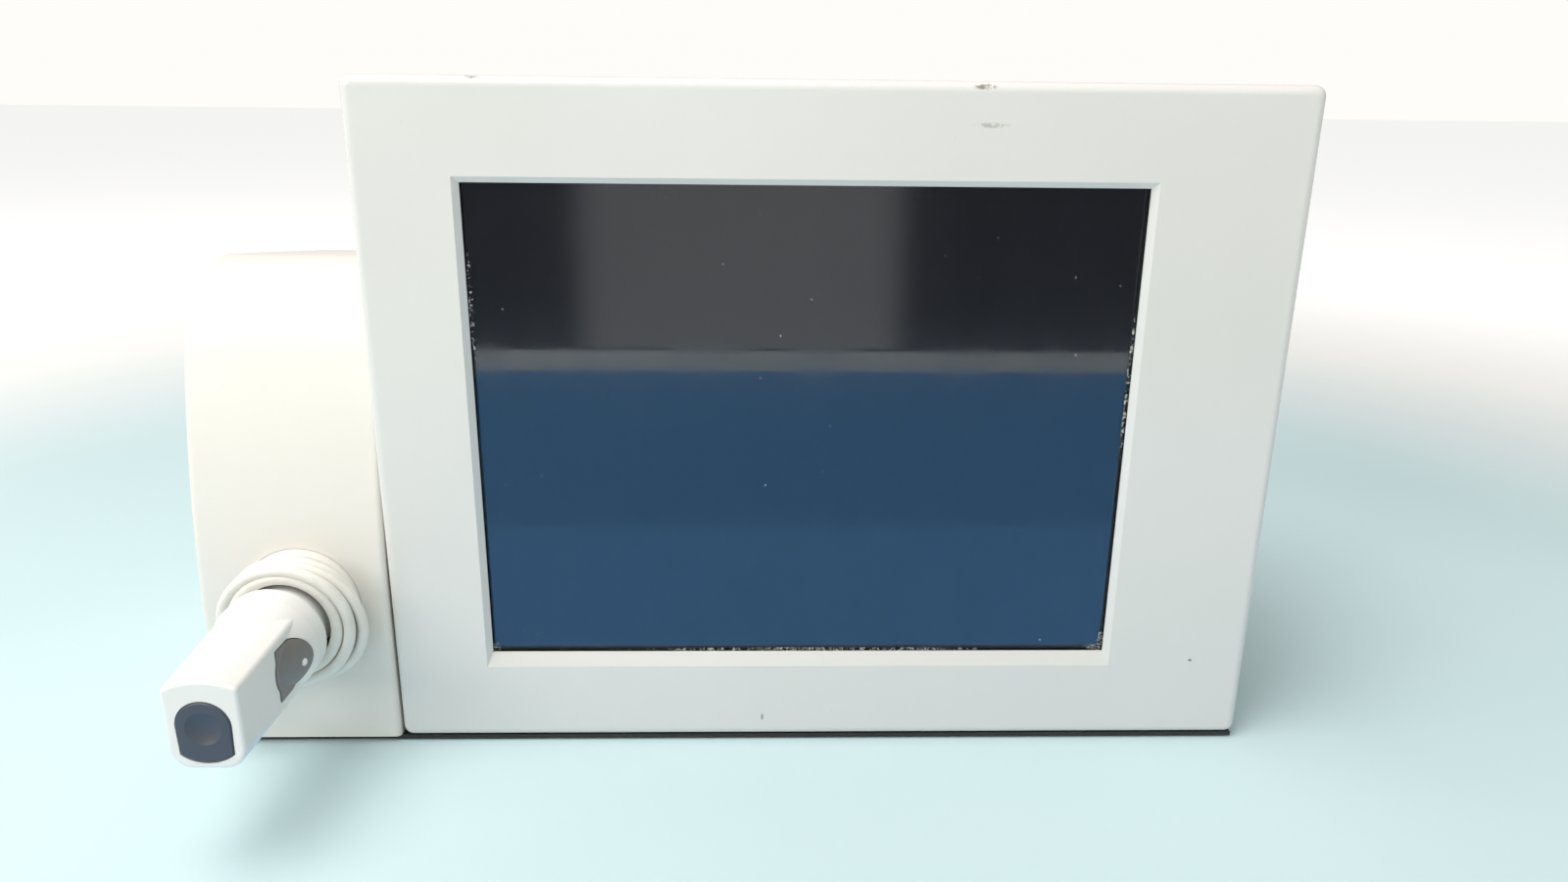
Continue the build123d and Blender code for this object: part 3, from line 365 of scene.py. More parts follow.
@dataclass(frozen=True)
class SoftVinyl:
    """Soft jacket of a cord or a rubbery part: slight sheen, kneaded surface, handling dirt.

    Kneading and grain are each a size and a depth in millimetres.
    """

    name: str
    colour: Triple
    tint: Triple
    roughness: float = 0.45
    dirt: Triple = (0.5, 0.46, 0.38)
    tone_mm: float = 11.0
    grime_mm: float = 5.0
    grime_share: float = 0.28
    rub_mm: float = 7.0
    kneading: tuple[float, float] = (3.2, 0.05)
    grain: tuple[float, float] = (0.35, 0.01)

    def build(self) -> bpy.types.Material:
        """Make the material.

        Returns:
            The finished material.
        """
        shader = Shader(self.name)
        cloud = shader.ramp(shader.noise(self.tone_mm, 4.0, 0.6), 0.35, 0.65)
        tone = shader.blend(cloud, self.colour, self.tint)
        grime = shader.noise(self.grime_mm, 6.0, 0.7)
        grime = shader.ramp(grime, 0.56, 0.78, 0.0, self.grime_share)
        shader.wire(shader.blend(grime, tone, self.dirt), shader.bsdf.inputs["Base Color"])
        low, high = self.roughness * 0.85, self.roughness * 1.2
        rough = shader.ramp(shader.noise(self.rub_mm, 4.0), 0.3, 0.7, low, high)
        shader.wire(rough, shader.bsdf.inputs["Roughness"])
        shader.constants(IOR=1.5, Sheen_Weight=0.06, Sheen_Roughness=0.5)
        for (size, depth), octaves in ((self.kneading, 3.0), (self.grain, 2.0)):
            shader.raise_by(shader.noise(size, octaves, 0.5), depth, 0.5)
        return shader.material


@dataclass(frozen=True)
class SheetMetal:
    """Plated or painted metal with a drawn grain, tarnish and fine scratches."""

    name: str
    colour: Triple
    tarnish: Triple
    metallic: float = 1.0
    roughness: float = 0.34
    grain: Triple = (0.05, 1.0, 1.0)
    stain_mm: float = 9.0
    grain_mm: float = 0.9
    grain_depth: float = 0.01

    def build(self) -> bpy.types.Material:
        """Make the material.

        Returns:
            The finished material.
        """
        shader = Shader(self.name)
        stain = shader.ramp(shader.noise(self.stain_mm, 6.0, 0.7), 0.45, 0.72)
        colour = shader.blend(stain, self.colour, self.tarnish)
        shader.wire(colour, shader.bsdf.inputs["Base Color"])
        drawn = shader.noise(self.grain_mm, 3.0, 0.6, shader.stretched(self.grain))
        low, high = self.roughness * 0.75, self.roughness * 1.35
        shader.wire(shader.ramp(drawn, 0.3, 0.7, low, high), shader.bsdf.inputs["Roughness"])
        shader.constants(Metallic=self.metallic, IOR=1.5)
        shader.raise_by(drawn, self.grain_depth, 0.5)
        return shader.material


@dataclass(frozen=True)
class BoardLaminate:
    """Circuit board: solder mask with tracks and pads showing through."""

    name: str
    mask: Triple
    track: Triple
    pad: Triple = (0.62, 0.6, 0.52)
    dust: Triple = (0.4, 0.38, 0.34)
    dust_mm: float = 14.0
    dust_share: float = 0.35
    field_mm: float = 9.0
    track_share: float = 0.045
    pad_pitch: float = 3.1
    pad_share: float = 0.16
    mask_depth: float = 0.03

    def build(self) -> bpy.types.Material:
        """Make the material.

        Returns:
            The finished material.
        """
        shader = Shader(self.name)
        bricks = shader.tree.nodes.new("ShaderNodeTexBrick")
        bricks.offset = 0.5
        bricks.inputs["Scale"].default_value = 1.0 / (self.field_mm * MM)
        bricks.inputs["Mortar Size"].default_value = self.track_share
        bricks.inputs["Color1"].default_value = (*self.mask, 1.0)
        bricks.inputs["Color2"].default_value = (*[c * 0.8 for c in self.mask], 1.0)
        bricks.inputs["Mortar"].default_value = (*self.track, 1.0)
        shader.wire(shader.place, bricks.inputs["Vector"])
        pads = shader.specks(self.pad_pitch, self.pad_share)
        colour = shader.blend(pads, bricks.outputs["Color"], self.pad)
        dust = shader.ramp(shader.noise(self.dust_mm, 5.0, 0.7), 0.5, 0.8, 0.0, self.dust_share)
        shader.wire(shader.blend(dust, colour, self.dust), shader.bsdf.inputs["Base Color"])
        shader.wire(shader.ramp(pads, 0.0, 1.0, 0.42, 0.25), shader.bsdf.inputs["Roughness"])
        shader.constants(IOR=1.5)
        shader.raise_by(bricks.outputs["Fac"], self.mask_depth, 0.4)
        return shader.material


@dataclass(frozen=True)
class DisplayFace:
    """Switched-off display: near black, faintly blue, with fine upright lines of cells."""

    name: str
    colour: Triple
    tint: Triple
    cloud_mm: float = 70.0
    cell_mm: float = 0.31
    line_share: float = 0.12
    rub_mm: float = 0.3

    def build(self) -> bpy.types.Material:
        """Make the material.

        Returns:
            The finished material.
        """
        shader = Shader(self.name)
        cloud = shader.ramp(shader.noise(self.cloud_mm, 3.0, 0.5), 0.35, 0.7)
        colour = shader.blend(cloud, self.colour, self.tint)
        grid = shader.tree.nodes.new("ShaderNodeTexWave")
        grid.bands_direction = "X"
        grid.inputs["Scale"].default_value = 1.0 / (self.cell_mm * MM * 2.0 * math.pi)
        shader.wire(shader.place, grid.inputs["Vector"])
        lines = shader.ramp(grid.outputs["Fac"], 0.0, 1.0, 0.0, self.line_share)
        shader.wire(shader.blend(lines, colour, (0.0, 0.0, 0.0)), shader.bsdf.inputs["Base Color"])
        rough = shader.ramp(shader.noise(self.rub_mm, 1.0), 0.3, 0.7, 0.1, 0.2)
        shader.wire(rough, shader.bsdf.inputs["Roughness"])
        shader.constants(IOR=1.65, Specular_IOR_Level=0.5)
        return shader.material


@dataclass(frozen=True)
class ClearPane:
    """Glass or clear plastic with dust specks and wiped smears."""

    name: str
    tint: Triple
    ior: float = 1.5
    dust: float = 1.0
    corner_dirt: tuple[Mark, ...] = ()
    dust_colour: Triple = (0.72, 0.68, 0.58)
    dust_cover: float = 0.75
    dot_mm: float = 15.0
    dot_share: float = 0.024
    dot_patch_mm: float = 26.0
    fine_mm: float = 6.0
    fine_share: float = 0.026
    fine_patch_mm: float = 44.0
    fine_cover: float = 0.7
    smear_mm: float = 34.0
    smear_stretch: Triple = (1.0, 1.0, 0.45)
    smear_turn: float = 25.0
    smear_roughness: tuple[float, float] = (0.015, 0.075)

    def build(self) -> bpy.types.Material:
        """Make the material.

        Returns:
            The finished material.
        """
        shader = Shader(self.name)
        few = shader.ramp(shader.noise(self.dot_patch_mm, 2.0), 0.5, 0.56)
        dots = shader.times(shader.specks(self.dot_mm, self.dot_share), few)
        patches = shader.ramp(shader.noise(self.fine_patch_mm, 2.0), 0.5, 0.58)
        fine = shader.times(shader.specks(self.fine_mm, self.fine_share), patches)
        spots = shader.larger(dots, shader.ramp(fine, 0.0, 1.0, 0.0, self.fine_cover))
        for mark in self.corner_dirt:
            rough = shader.ramp(shader.noise(mark.grain_mm, 5.0, 0.75), 0.5, 0.6)
            spots = shader.larger(spots, shader.times(shader.near(mark.spot, mark.reach), rough))
        spots = shader.ramp(spots, 0.0, 1.0, 0.0, self.dust_cover * self.dust)
        colour = shader.blend(spots, self.tint, self.dust_colour)
        shader.wire(colour, shader.bsdf.inputs["Base Color"])
        clear = shader.ramp(spots, 0.0, 1.0, 1.0, 0.0)
        shader.wire(clear, shader.bsdf.inputs["Transmission Weight"])
        wiped = shader.stretched(self.smear_stretch, self.smear_turn)
        smear = shader.noise(self.smear_mm, 6.0, 0.65, wiped)
        smear = shader.ramp(smear, 0.3, 0.75, *self.smear_roughness)
        shader.wire(shader.larger(smear, spots), shader.bsdf.inputs["Roughness"])
        shader.constants(IOR=self.ior)
        return shader.material


class Palette:
    """Every finish of the magnifier, made once and shared by its pieces."""

    FINISHES = {
        "case": MouldedPlastic(
            "Ivory case moulding", (0.79, 0.775, 0.73), (0.77, 0.755, 0.705), gloss=0.34,
            dirt_share=0.07,
        ),
        "bezel": MouldedPlastic(
            "Screen bezel moulding", (0.73, 0.73, 0.71), (0.715, 0.714, 0.692), gloss=0.22,
            dirt_share=0.05,
            marks=(
                Mark((-89.8, -42.0, 260.0), (4.5, 4.0, 1.6)),
                Mark((88.0, -42.0, 258.6), (6.0, 4.0, 1.6)),
                Mark((91.0, -42.5, 245.7), (9.0, 2.0, 1.4), (0.5, 0.49, 0.46)),
                Mark((11.8, -42.5, 11.0), (0.9, 1.5, 2.4), (0.3, 0.3, 0.3), 2.5),
                Mark((186.2, -42.5, 36.5), (1.2, 1.5, 0.9), (0.12, 0.11, 0.1), 3.0),
                Mark((209.0, -41.0, 127.5), (1.8, 3.0, 2.0), (0.05, 0.05, 0.05), 3.0),
            ),
        ),
        "hand": MouldedPlastic(
            "White hand camera moulding", (0.83, 0.83, 0.81), (0.81, 0.81, 0.785), gloss=0.3,
            grain_mm=0.45, grain_depth=0.01, dirt_share=0.08,
        ),
        # The end key and the side key are one grey plastic. The end key's colour is painted darker
        # and bluer, painted shade and a painted blue reflection on its front face; the side key's
        # colour is painted lighter and warmer, painted light on its flank.
        "end_key_painted_shade": MouldedPlastic(
            "Key grey with painted shade and reflection", (0.078, 0.086, 0.1), (0.066, 0.074, 0.09), gloss=0.42,
            grain_mm=0.35, grain_depth=0.02, dirt=(0.24, 0.23, 0.21), dirt_share=0.25,
        ),
        "side_key_painted_light": MouldedPlastic(
            "Key grey with painted light", (0.225, 0.215, 0.2), (0.19, 0.182, 0.17), gloss=0.36,
            grain_mm=0.35, grain_depth=0.02, dirt=(0.36, 0.33, 0.29), dirt_share=0.3,
        ),
        "black": MouldedPlastic(
            "Black moulded plastic", (0.025, 0.025, 0.026), (0.035, 0.034, 0.033), gloss=0.42,
            dirt=(0.2, 0.19, 0.17), dirt_share=0.3,
        ),
        "barrel": MouldedPlastic(
            "Lens barrel black", (0.015, 0.015, 0.016), (0.02, 0.02, 0.02), gloss=0.5,
            grain_mm=0.3, dirt=(0.08, 0.08, 0.08), dirt_share=0.1,
        ),
        "nylon": MouldedPlastic(
            "Natural nylon", (0.72, 0.7, 0.62), (0.66, 0.64, 0.55), gloss=0.45, grain_mm=0.8,
        ),
        "cord": SoftVinyl(
            "White cord jacket", (0.8, 0.79, 0.74), (0.75, 0.74, 0.68), 0.38, (0.55, 0.5, 0.4)
        ),
        "liner": SoftVinyl(
            "Holder lining rubber", (0.055, 0.055, 0.056), (0.07, 0.07, 0.07), 0.6,
            (0.2, 0.19, 0.17),
        ),
        "rubber": SoftVinyl(
            "Black foot rubber", (0.022, 0.022, 0.022), (0.035, 0.034, 0.033), 0.7,
            (0.16, 0.15, 0.13),
        ),
        "foam": SoftVinyl(
            "Dark gasket foam", (0.02, 0.02, 0.021), (0.04, 0.039, 0.037), 0.85, (0.2, 0.18, 0.12)
        ),
        "plate": SheetMetal(
            "Black powder-coated plate", (0.018, 0.018, 0.019), (0.03, 0.029, 0.028), 0.0, 0.5,
            (1.0, 1.0, 1.0),
        ),
        "zinc": SheetMetal("Zinc plated sheet", (0.6, 0.61, 0.62), (0.46, 0.46, 0.45)),
        "screw": SheetMetal(
            "Zinc plated screw", (0.66, 0.66, 0.66), (0.42, 0.41, 0.39), 1.0, 0.28, (1.0, 1.0, 1.0)
        ),
        "nickel": SheetMetal(
            "Nickel plated contact", (0.72, 0.7, 0.64), (0.55, 0.5, 0.4), 1.0, 0.22
        ),
        "gold": SheetMetal("Gold plated contact", (0.85, 0.62, 0.26), (0.7, 0.48, 0.2), 1.0, 0.25),
        "anodised": SheetMetal(
            "Black anodised fins", (0.035, 0.035, 0.037), (0.05, 0.05, 0.05), 0.6, 0.45
        ),
        "board": BoardLaminate("Green circuit board", (0.012, 0.09, 0.035), (0.03, 0.16, 0.07)),
        "display": DisplayFace(
            "Dark display face", (0.0105, 0.0125, 0.018), (0.0125, 0.0145, 0.021)
        ),
        "touch": ClearPane(
            "Touch glass", (0.93, 0.95, 0.97), 1.52,
            corner_dirt=(
                Mark((-95.6, -38.5, 41.0), (3.0, 3.0, 3.6), grain_mm=0.7),
                Mark((30.0, -38.5, 39.8), (125.0, 3.0, 1.3), grain_mm=1.0),
                Mark((149.6, -38.5, 43.0), (2.2, 3.0, 8.0), grain_mm=0.8),
                Mark((147.0, -38.5, 40.6), (7.0, 3.0, 2.0), grain_mm=0.8),
                Mark((-95.6, -38.5, 180.0), (1.3, 3.0, 34.0), grain_mm=1.4),
                Mark((149.9, -38.5, 150.0), (1.2, 3.0, 46.0), grain_mm=1.4),
            ),
        ),
        "window": ClearPane("Camera window", (0.97, 0.98, 0.98), 1.49, 0.4),
        "lens": ClearPane("Coated lens glass", (0.8, 0.86, 0.97), 1.6, 0.2),
    }

    NODES = {
        "case": ("body_shell", "rear_cover", "head_back", "holder_cup", "cord_gland"),
        "bezel": ("front_bezel",),
        "hand": ("grip_shell", "neck_collar", "camera_head", "cord_boot"),
        # both keys are one plastic: painted shade in the end key's colour, painted light in the
        # side key's
        "end_key_painted_shade": ("end_button",),
        "side_key_painted_light": ("side_button",),
        "black": (
            "mains_inlet", "switch_housing", "power_rocker", "power_supply", "side_switch",
            "end_switch",
        ),
        "barrel": ("lens_barrel", "led_ring"),
        "nylon": ("board_posts", "supply_feet"),
        "liner": ("holder_liner",),
        "rubber": ("rubber_feet",),
        "foam": ("screen_gasket",),
        "plate": ("base_plate",),
        "zinc": ("base_rails", "lcd_tray", "head_bracket", "video_socket", "network_socket"),
        "screw": (
            "cover_screws", "base_screws", "tray_screws", "bracket_screws", "board_screws",
        ),
        "nickel": ("inlet_pins",),
        "anodised": ("heat_sink",),
        "board": ("main_board", "inverter_board", "grip_board", "end_board", "camera_board"),
        "display": ("lcd_module",),
        "touch": ("touch_glass",),
        "window": ("lens_window",),
        "lens": ("lens_glass",),
        "cord": ("cord_coil", "cord_lead_in", "cord_lead_out"),
    }

    def __init__(self) -> None:
        """Make every material."""
        self.made = {key: finish.build() for key, finish in self.FINISHES.items()}

    def __getitem__(self, key: str) -> bpy.types.Material:
        """Material of a finish."""
        return self.made[key]

    def dress_nodes(self, nodes: dict[str, bpy.types.Object]) -> None:
        """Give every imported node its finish.

        Args:
            nodes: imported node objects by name.
        """
        for key, names in self.NODES.items():
            for name in names:
                slots = nodes[name].material_slots
                if not slots:
                    nodes[name].data.materials.append(self.made[key])
                for slot in slots:
                    slot.material = self.made[key]
                LOG.info("node %s wears %s", name, self.made[key].name)
        bare = sorted(set(nodes) - {name for names in self.NODES.values() for name in names})
        if bare:
            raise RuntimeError(f"nodes without a finish: {bare}")


# ---------------------------------------------------------------- making pieces
class Maker:
    """Builds one mesh piece with bmesh operators and hands it over to the frame."""

    MERGE = 0.001 * MM  # points nearer than this become one
    SHARP = math.radians(35.0)  # edges sharper than this stay sharp

    def __init__(self, name: str, body: Body, slot: Slot, material: bpy.types.Material) -> None:
        """Start an empty piece.

        Args:
            name: name of the piece.
            body: body that it rides on.
            slot: material slot that it stands for; not used.
            material: its finish.
        """
        self.name, self.body, self.slot, self.material = name, body, slot, material
        self.mesh = bmesh.new()

    def box(self, low: Vector, high: Vector, rounding: float, segments: int) -> None:
        """Box between two corners with rounded edges.

        Args:
            low: lowest corner in metres.
            high: highest corner in metres.
            rounding: edge rounding in metres.
            segments: faces across the rounding.
        """
        place = Matrix.LocRotScale((high + low) / 2.0, None, high - low)
        made = bmesh.ops.create_cube(self.mesh, size=1.0, matrix=place)
        edges = list({edge for vert in made["verts"] for edge in vert.link_edges})
        bmesh.ops.bevel(
            self.mesh, geom=edges, offset=rounding, segments=segments, profile=0.5,
            affect="EDGES", material=-1,
        )

    def ball(self, centre: Vector, half: Triple) -> None:
        """Round lens-shaped bead.

        Args:
            centre: its middle in metres.
            half: half size along each axis in millimetres.
        """
        place = Matrix.LocRotScale(centre, None, Vector(half) * MM)
        bmesh.ops.create_icosphere(self.mesh, subdivisions=3, radius=1.0, matrix=place)

    def finish(self) -> None:
        """Close the mesh, make the object and hand it to the frame."""
        bmesh.ops.remove_doubles(self.mesh, verts=self.mesh.verts, dist=self.MERGE)
        bmesh.ops.recalc_face_normals(self.mesh, faces=self.mesh.faces)
        for edge in self.mesh.edges:
            creased = len(edge.link_faces) == 2 and edge.calc_face_angle(0.0) > self.SHARP
            edge.smooth = not creased
        data = bpy.data.meshes.new(self.name)
        for face in self.mesh.faces:
            face.smooth = True
        self.mesh.to_mesh(data)
        self.mesh.free()
        data.materials.append(self.material)
        piece = bpy.data.objects.new(self.name, data)
        bpy.context.scene.collection.objects.link(piece)
        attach(piece, self.body.value)
        LOG.info("made %s on %s, %d faces", self.name, self.body.value, len(data.polygons))


# ---------------------------------------------------------------- cord
@dataclass
class CameraCord:
    """Hand camera's cord: out of the gland, nearly six turns round the collar, into the boot.

    The turns lie in pairs, one over the other, wide enough for the camera head to pass. Sizes are
    in millimetres and degrees. A turn is given by its radius and its distance from the screen face.
    """

    diameter: float = 4.4
    points_per_turn: int = 14
    centre: tuple[float, float] = (-169.3, 61.0)
    turns: tuple[tuple[float, float], ...] = (
        (24.6, 8.0), (20.0, 8.3), (19.9, 12.5), (24.4, 12.3), (24.3, 16.5), (19.8, 16.8),
        (19.8, 16.9),
    )
    start_angle: float = -84.5
    end_angle: float = 201.0
    lead_in: tuple[Triple, ...] = (
        (-185.4, -51.0, 30.9), (-176.2, -51.6, 33.6), (-168.0, -51.2, 36.4),
    )
    lead_out: tuple[Triple, ...] = (
        (-187.0, -60.1, 51.2), (-185.6, -64.7, 47.8), (-181.2, -65.5, 43.7), (-174.5, -64.7, 42.3),
    )
    skipped: int = 2  # points of the first turn that the lead-in stands for
    cross_from: float = 0.68  # share of a turn after which the cord crosses to the next one
    cross_over: float = 0.3  # share of a turn that the crossing takes
    outer_from: float = 22.0  # radius above which a turn is an outer one
    slack: float = 0.5  # least slack at the right of an outer turn
    slack_extra: float = 0.9  # most that is added to it, which differs from turn to turn
    slack_step: float = 2.3
    slack_start: float = 0.4
    slack_inner: float = 0.35  # share of the slack that an inner turn has
    tight_above: float = 1.5  # how much closer the outer turns lie above the collar
    wobble: float = 0.2  # how far a turn strays from its level
    wobble_step: float = 1.7
    loose_turn: int = 3  # the one that stands out at its right
    loose_out: float = 3.4
    loose_angle: float = 22.0
    length: float = 0.83  # metres
    stays: float = 19.5  # distance from the screen face
    follows: float = 20.2  # and a second one, a little further out

    def turn_points(self) -> list[Triple]:
        """Points of the turns, from under the collar round to its lower left.

        Returns:
            Points in millimetres.
        """
        last = len(self.turns) - 2
        sweep = self.end_angle - self.start_angle + 360.0 * last
        steps = int(sweep / 360.0 * self.points_per_turn)
        points = []
        for step in range(self.skipped, steps):
            share = step / steps
            turn = share * sweep / 360.0
            angle = math.radians(self.start_angle + share * sweep)
            layer = min(int(turn), last)
            cross = min(max((turn - layer - self.cross_from) / self.cross_over, 0.0), 1.0)
            cross = cross * cross * (3.0 - 2.0 * cross)
            first, second = self.turns[layer], self.turns[layer + 1]
            radius = first[0] + (second[0] - first[0]) * cross
            away = first[1] + (second[1] - first[1]) * cross
            extra = self.slack_extra * math.sin(self.slack_step * layer + self.slack_start) ** 2
            slack = max(0.0, math.cos(angle)) * (self.slack + extra)
            tight = self.tight_above * max(0.0, math.sin(angle)) ** 2
            radius += slack - tight if radius > self.outer_from else slack * self.slack_inner
            away += self.wobble * math.sin(2.0 * angle + self.wobble_step * layer)
            if layer == self.loose_turn:
                facing = math.cos(angle + math.radians(self.loose_angle))
                radius += self.loose_out * max(0.0, facing) ** 3
            x = self.centre[0] + radius * math.cos(angle)
            z = self.centre[1] + radius * math.sin(angle)
            points.append((x, out(away), z))
        return points

    def build(self, material: bpy.types.Material) -> None:
        """Make the cord as a tube on one smooth spline.

        Args:
            material: jacket finish.
        """
        route = [*self.lead_in, *self.turn_points(), *self.lead_out]
        curve = bpy.data.curves.new("cord_route", "CURVE")
        curve.dimensions = "3D"
        curve.resolution_u = 5
        spline = curve.splines.new("NURBS")
        spline.points.add(len(route) - 1)
        for point, place in zip(spline.points, route):
            point.co = (*at(*place), 1.0)
        spline.order_u = 3
        spline.use_endpoint_u = True
        carrier = bpy.data.objects.new("cord_route", curve)
        line = bpy.data.meshes.new_from_object(carrier)
        curve.bevel_depth = self.diameter / 2.0 * MM
        curve.bevel_resolution = 5
        curve.use_fill_caps = True
        tube = bpy.data.meshes.new_from_object(carrier)
        bpy.data.meshes.remove(line)
        bpy.data.objects.remove(carrier)
        bpy.data.curves.remove(curve)
        tube.name = "camera_cord"
        tube.materials.clear()
        tube.materials.append(material)
        for face in tube.polygons:
            face.use_smooth = True
        cord = bpy.data.objects.new("camera_cord", tube)
        bpy.context.scene.collection.objects.link(cord)
        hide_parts("cord_coil", "cord_lead_in", "cord_lead_out")
        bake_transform(cord)
        LOG.info("made camera_cord, %d points", len(route))


# ---------------------------------------------------------------- finer pieces
@dataclass
class HandCameraDetails:
    """Pale thumb pip on the side button, clear domes on the lamps round the lens; millimetres."""

    pip: Triple = (-152.7, -84.5, 59.6)
    pip_half: Triple = (1.1, 1.5, 1.5)
    lamp_count: int = 8
    lamp_half: Triple = (1.05, 0.8, 1.05)
    lamp_inset: float = 2.58

    def build(self, palette: Palette) -> None:
        """Make the pieces.

        Args:
            palette: finishes.
        """
        pip = Maker("side_button_pip", Body.SIDE_KEY, Slot.HAND, palette["hand"])
        pip.ball(at(*self.pip), self.pip_half)
        pip.finish()
        low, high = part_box("led_ring")
        reach = (high[0] - low[0]) / 2.0 - self.lamp_inset * MM
        middle_x, middle_z = (low[0] + high[0]) / 2.0, (low[2] + high[2]) / 2.0
        lamps = Maker("lamp_domes", Body.HAND, Slot.WINDOW, palette["window"])
        for index in range(self.lamp_count):
            angle = 2.0 * math.pi * index / self.lamp_count
            x, z = middle_x + reach * math.cos(angle), middle_z + reach * math.sin(angle)
            lamps.ball(Vector((x, high[1], z)), self.lamp_half)
        lamps.finish()


@dataclass
class SocketDetails:
    """Insert and contacts of the video socket, contacts of the network socket; millimetres."""

    socket_middle: float = 7.0
    insert: tuple[float, float] = (21.8, 6.6)
    insert_depth: float = 2.6
    insert_proud: float = 0.1
    insert_rounding: float = 1.2
    rows: tuple[float, ...] = (1.9, 0.0, -1.9)
    row_shift: tuple[float, float] = (-0.05, 0.25)
    per_row: int = 5
    pitch: float = 3.5
    contact: Triple = (0.55, 0.2, 0.55)
    spring_count: int = 8
    spring_pitch: float = 1.02
    spring_length: float = 9.0
    spring_width: float = 0.4
    spring_thickness: float = 0.45
    spring_rounding: float = 0.08
    spring_below_top: float = 3.0
    spring_set_back: float = 4.0

    def video_contacts(self, palette: Palette) -> None:
        """Make the insert of the video socket and its rows of contacts.

        Args:
            palette: finishes.
        """
        low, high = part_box("video_socket")
        x, z, face = (low[0] + high[0]) / 2.0, low[2] + self.socket_middle * MM, high[1]
        half_w, half_h = self.insert[0] / 2.0 * MM, self.insert[1] / 2.0 * MM
        insert = Maker("video_socket_insert", Body.BASE, Slot.BLACK, palette["black"])
        insert.box(
            Vector((x - half_w, face - self.insert_depth * MM, z - half_h)),
            Vector((x + half_w, face + self.insert_proud * MM, z + half_h)),
            self.insert_rounding * MM, 3,
        )
        insert.finish()
        contacts = Maker("video_socket_contacts", Body.BASE, Slot.METAL, palette["gold"])
        for row, height in enumerate(self.rows):
            for index in range(self.per_row):
                place = index - (self.per_row - 1) / 2.0 + self.row_shift[row % 2]
                centre = Vector((x + place * self.pitch * MM, face, z + height * MM))
                contacts.ball(centre, self.contact)
        contacts.finish()

    def network_contacts(self, palette: Palette) -> None:
        """Make the springs of the network socket.

        Args:
            palette: finishes.
        """
        low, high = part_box("network_socket")
        x, top = (low[0] + high[0]) / 2.0, high[2] - self.spring_below_top * MM
        mouth_end = high[1] - self.spring_set_back * MM
        inner_end = high[1] - (self.spring_length + self.spring_set_back) * MM
        springs = Maker("network_socket_contacts", Body.BASE, Slot.METAL, palette["gold"])
        for index in range(self.spring_count):
            place = (index - (self.spring_count - 1) / 2.0) * self.spring_pitch
            left = x + (place - self.spring_width / 2.0) * MM
            springs.box(
                Vector((left, inner_end, top - self.spring_thickness * MM)),
                Vector((left + self.spring_width * MM, mouth_end, top)),
                self.spring_rounding * MM, 1,
            )
        springs.finish()

    def build(self, palette: Palette) -> None:
        """Make the pieces of both sockets."""
        self.video_contacts(palette)
        self.network_contacts(palette)


# ---------------------------------------------------------------- stage
@dataclass(frozen=True)
class Lamp:
    """Soft square lamp: its place, the point that it faces, its edge length and its watts."""

    name: str
    place: Triple
    aim: Triple
    size: float
    power: float
    colour: Triple

    def build(self) -> None:
        """Hang the lamp."""
        data = bpy.data.lights.new(self.name, "AREA")
        data.shape, data.size = "SQUARE", self.size
        data.energy, data.color = self.power, self.colour
        lamp = bpy.data.objects.new(self.name, data)
        lamp.location = self.place
        towards = Vector(self.aim) - Vector(self.place)
        lamp.rotation_euler = towards.to_track_quat("-Z", "Y").to_euler()
        bpy.context.scene.collection.objects.link(lamp)


@dataclass(frozen=True)
class Sheet:
    """Flat sheet of the stage, a unit square that a matrix carries to its place."""

    name: str
    only_reflected: bool = False

    def build(self, place: Matrix) -> bpy.types.Object:
        """Make the sheet.

        Args:
            place: turns, scales and moves the unit square.
        Returns:
            The sheet.
        """
        mesh = bmesh.new()
        bmesh.ops.create_grid(mesh, x_segments=1, y_segments=1, size=0.5, matrix=place)
        data = bpy.data.meshes.new(self.name)
        mesh.to_mesh(data)
        mesh.free()
        piece = bpy.data.objects.new(self.name, data)
        bpy.context.scene.collection.objects.link(piece)
        if self.only_reflected:
            piece.visible_camera = piece.visible_diffuse = piece.visible_shadow = False
        return piece

    def level(self, x: tuple[float, float], y: tuple[float, float], z: float) -> bpy.types.Object:
        """Make the sheet level.

        Args:
            x: its lowest and highest X in metres.
            y: its lowest and highest Y.
            z: its height.
        Returns:
            The sheet.
        """
        middle = Vector(((x[0] + x[1]) / 2, (y[0] + y[1]) / 2, z))
        return self.build(Matrix.LocRotScale(middle, None, Vector((x[1] - x[0], y[1] - y[0], 1.0))))


@dataclass(frozen=True)
class PaintedReflection:
    """Glowing level board just above the floor that only glossy surfaces see: a painted reflection;
    metres.
    """

    name: str
    x: tuple[float, float]
    y: tuple[float, float]
    colour: Triple
    strength: float
    height: float = 0.0006

    def build(self) -> None:
        """Lay the board."""
        piece = Sheet(self.name, True).level(self.x, self.y, self.height)
        material = bpy.data.materials.new(self.name)
        material.use_nodes = True
        bsdf = material.node_tree.nodes["Principled BSDF"]
        bsdf.inputs["Base Color"].default_value = (*[c * 0.5 for c in self.colour], 1.0)
        bsdf.inputs["Roughness"].default_value = 0.9
        bsdf.inputs["Specular IOR Level"].default_value = 0.0
        # painted reflection: the board glows in its colour and is seen only in glossy surfaces
        bsdf.inputs["Emission Color"].default_value = (*self.colour, 1.0)
        bsdf.inputs["Emission Strength"].default_value = self.strength
        piece.data.materials.append(material)


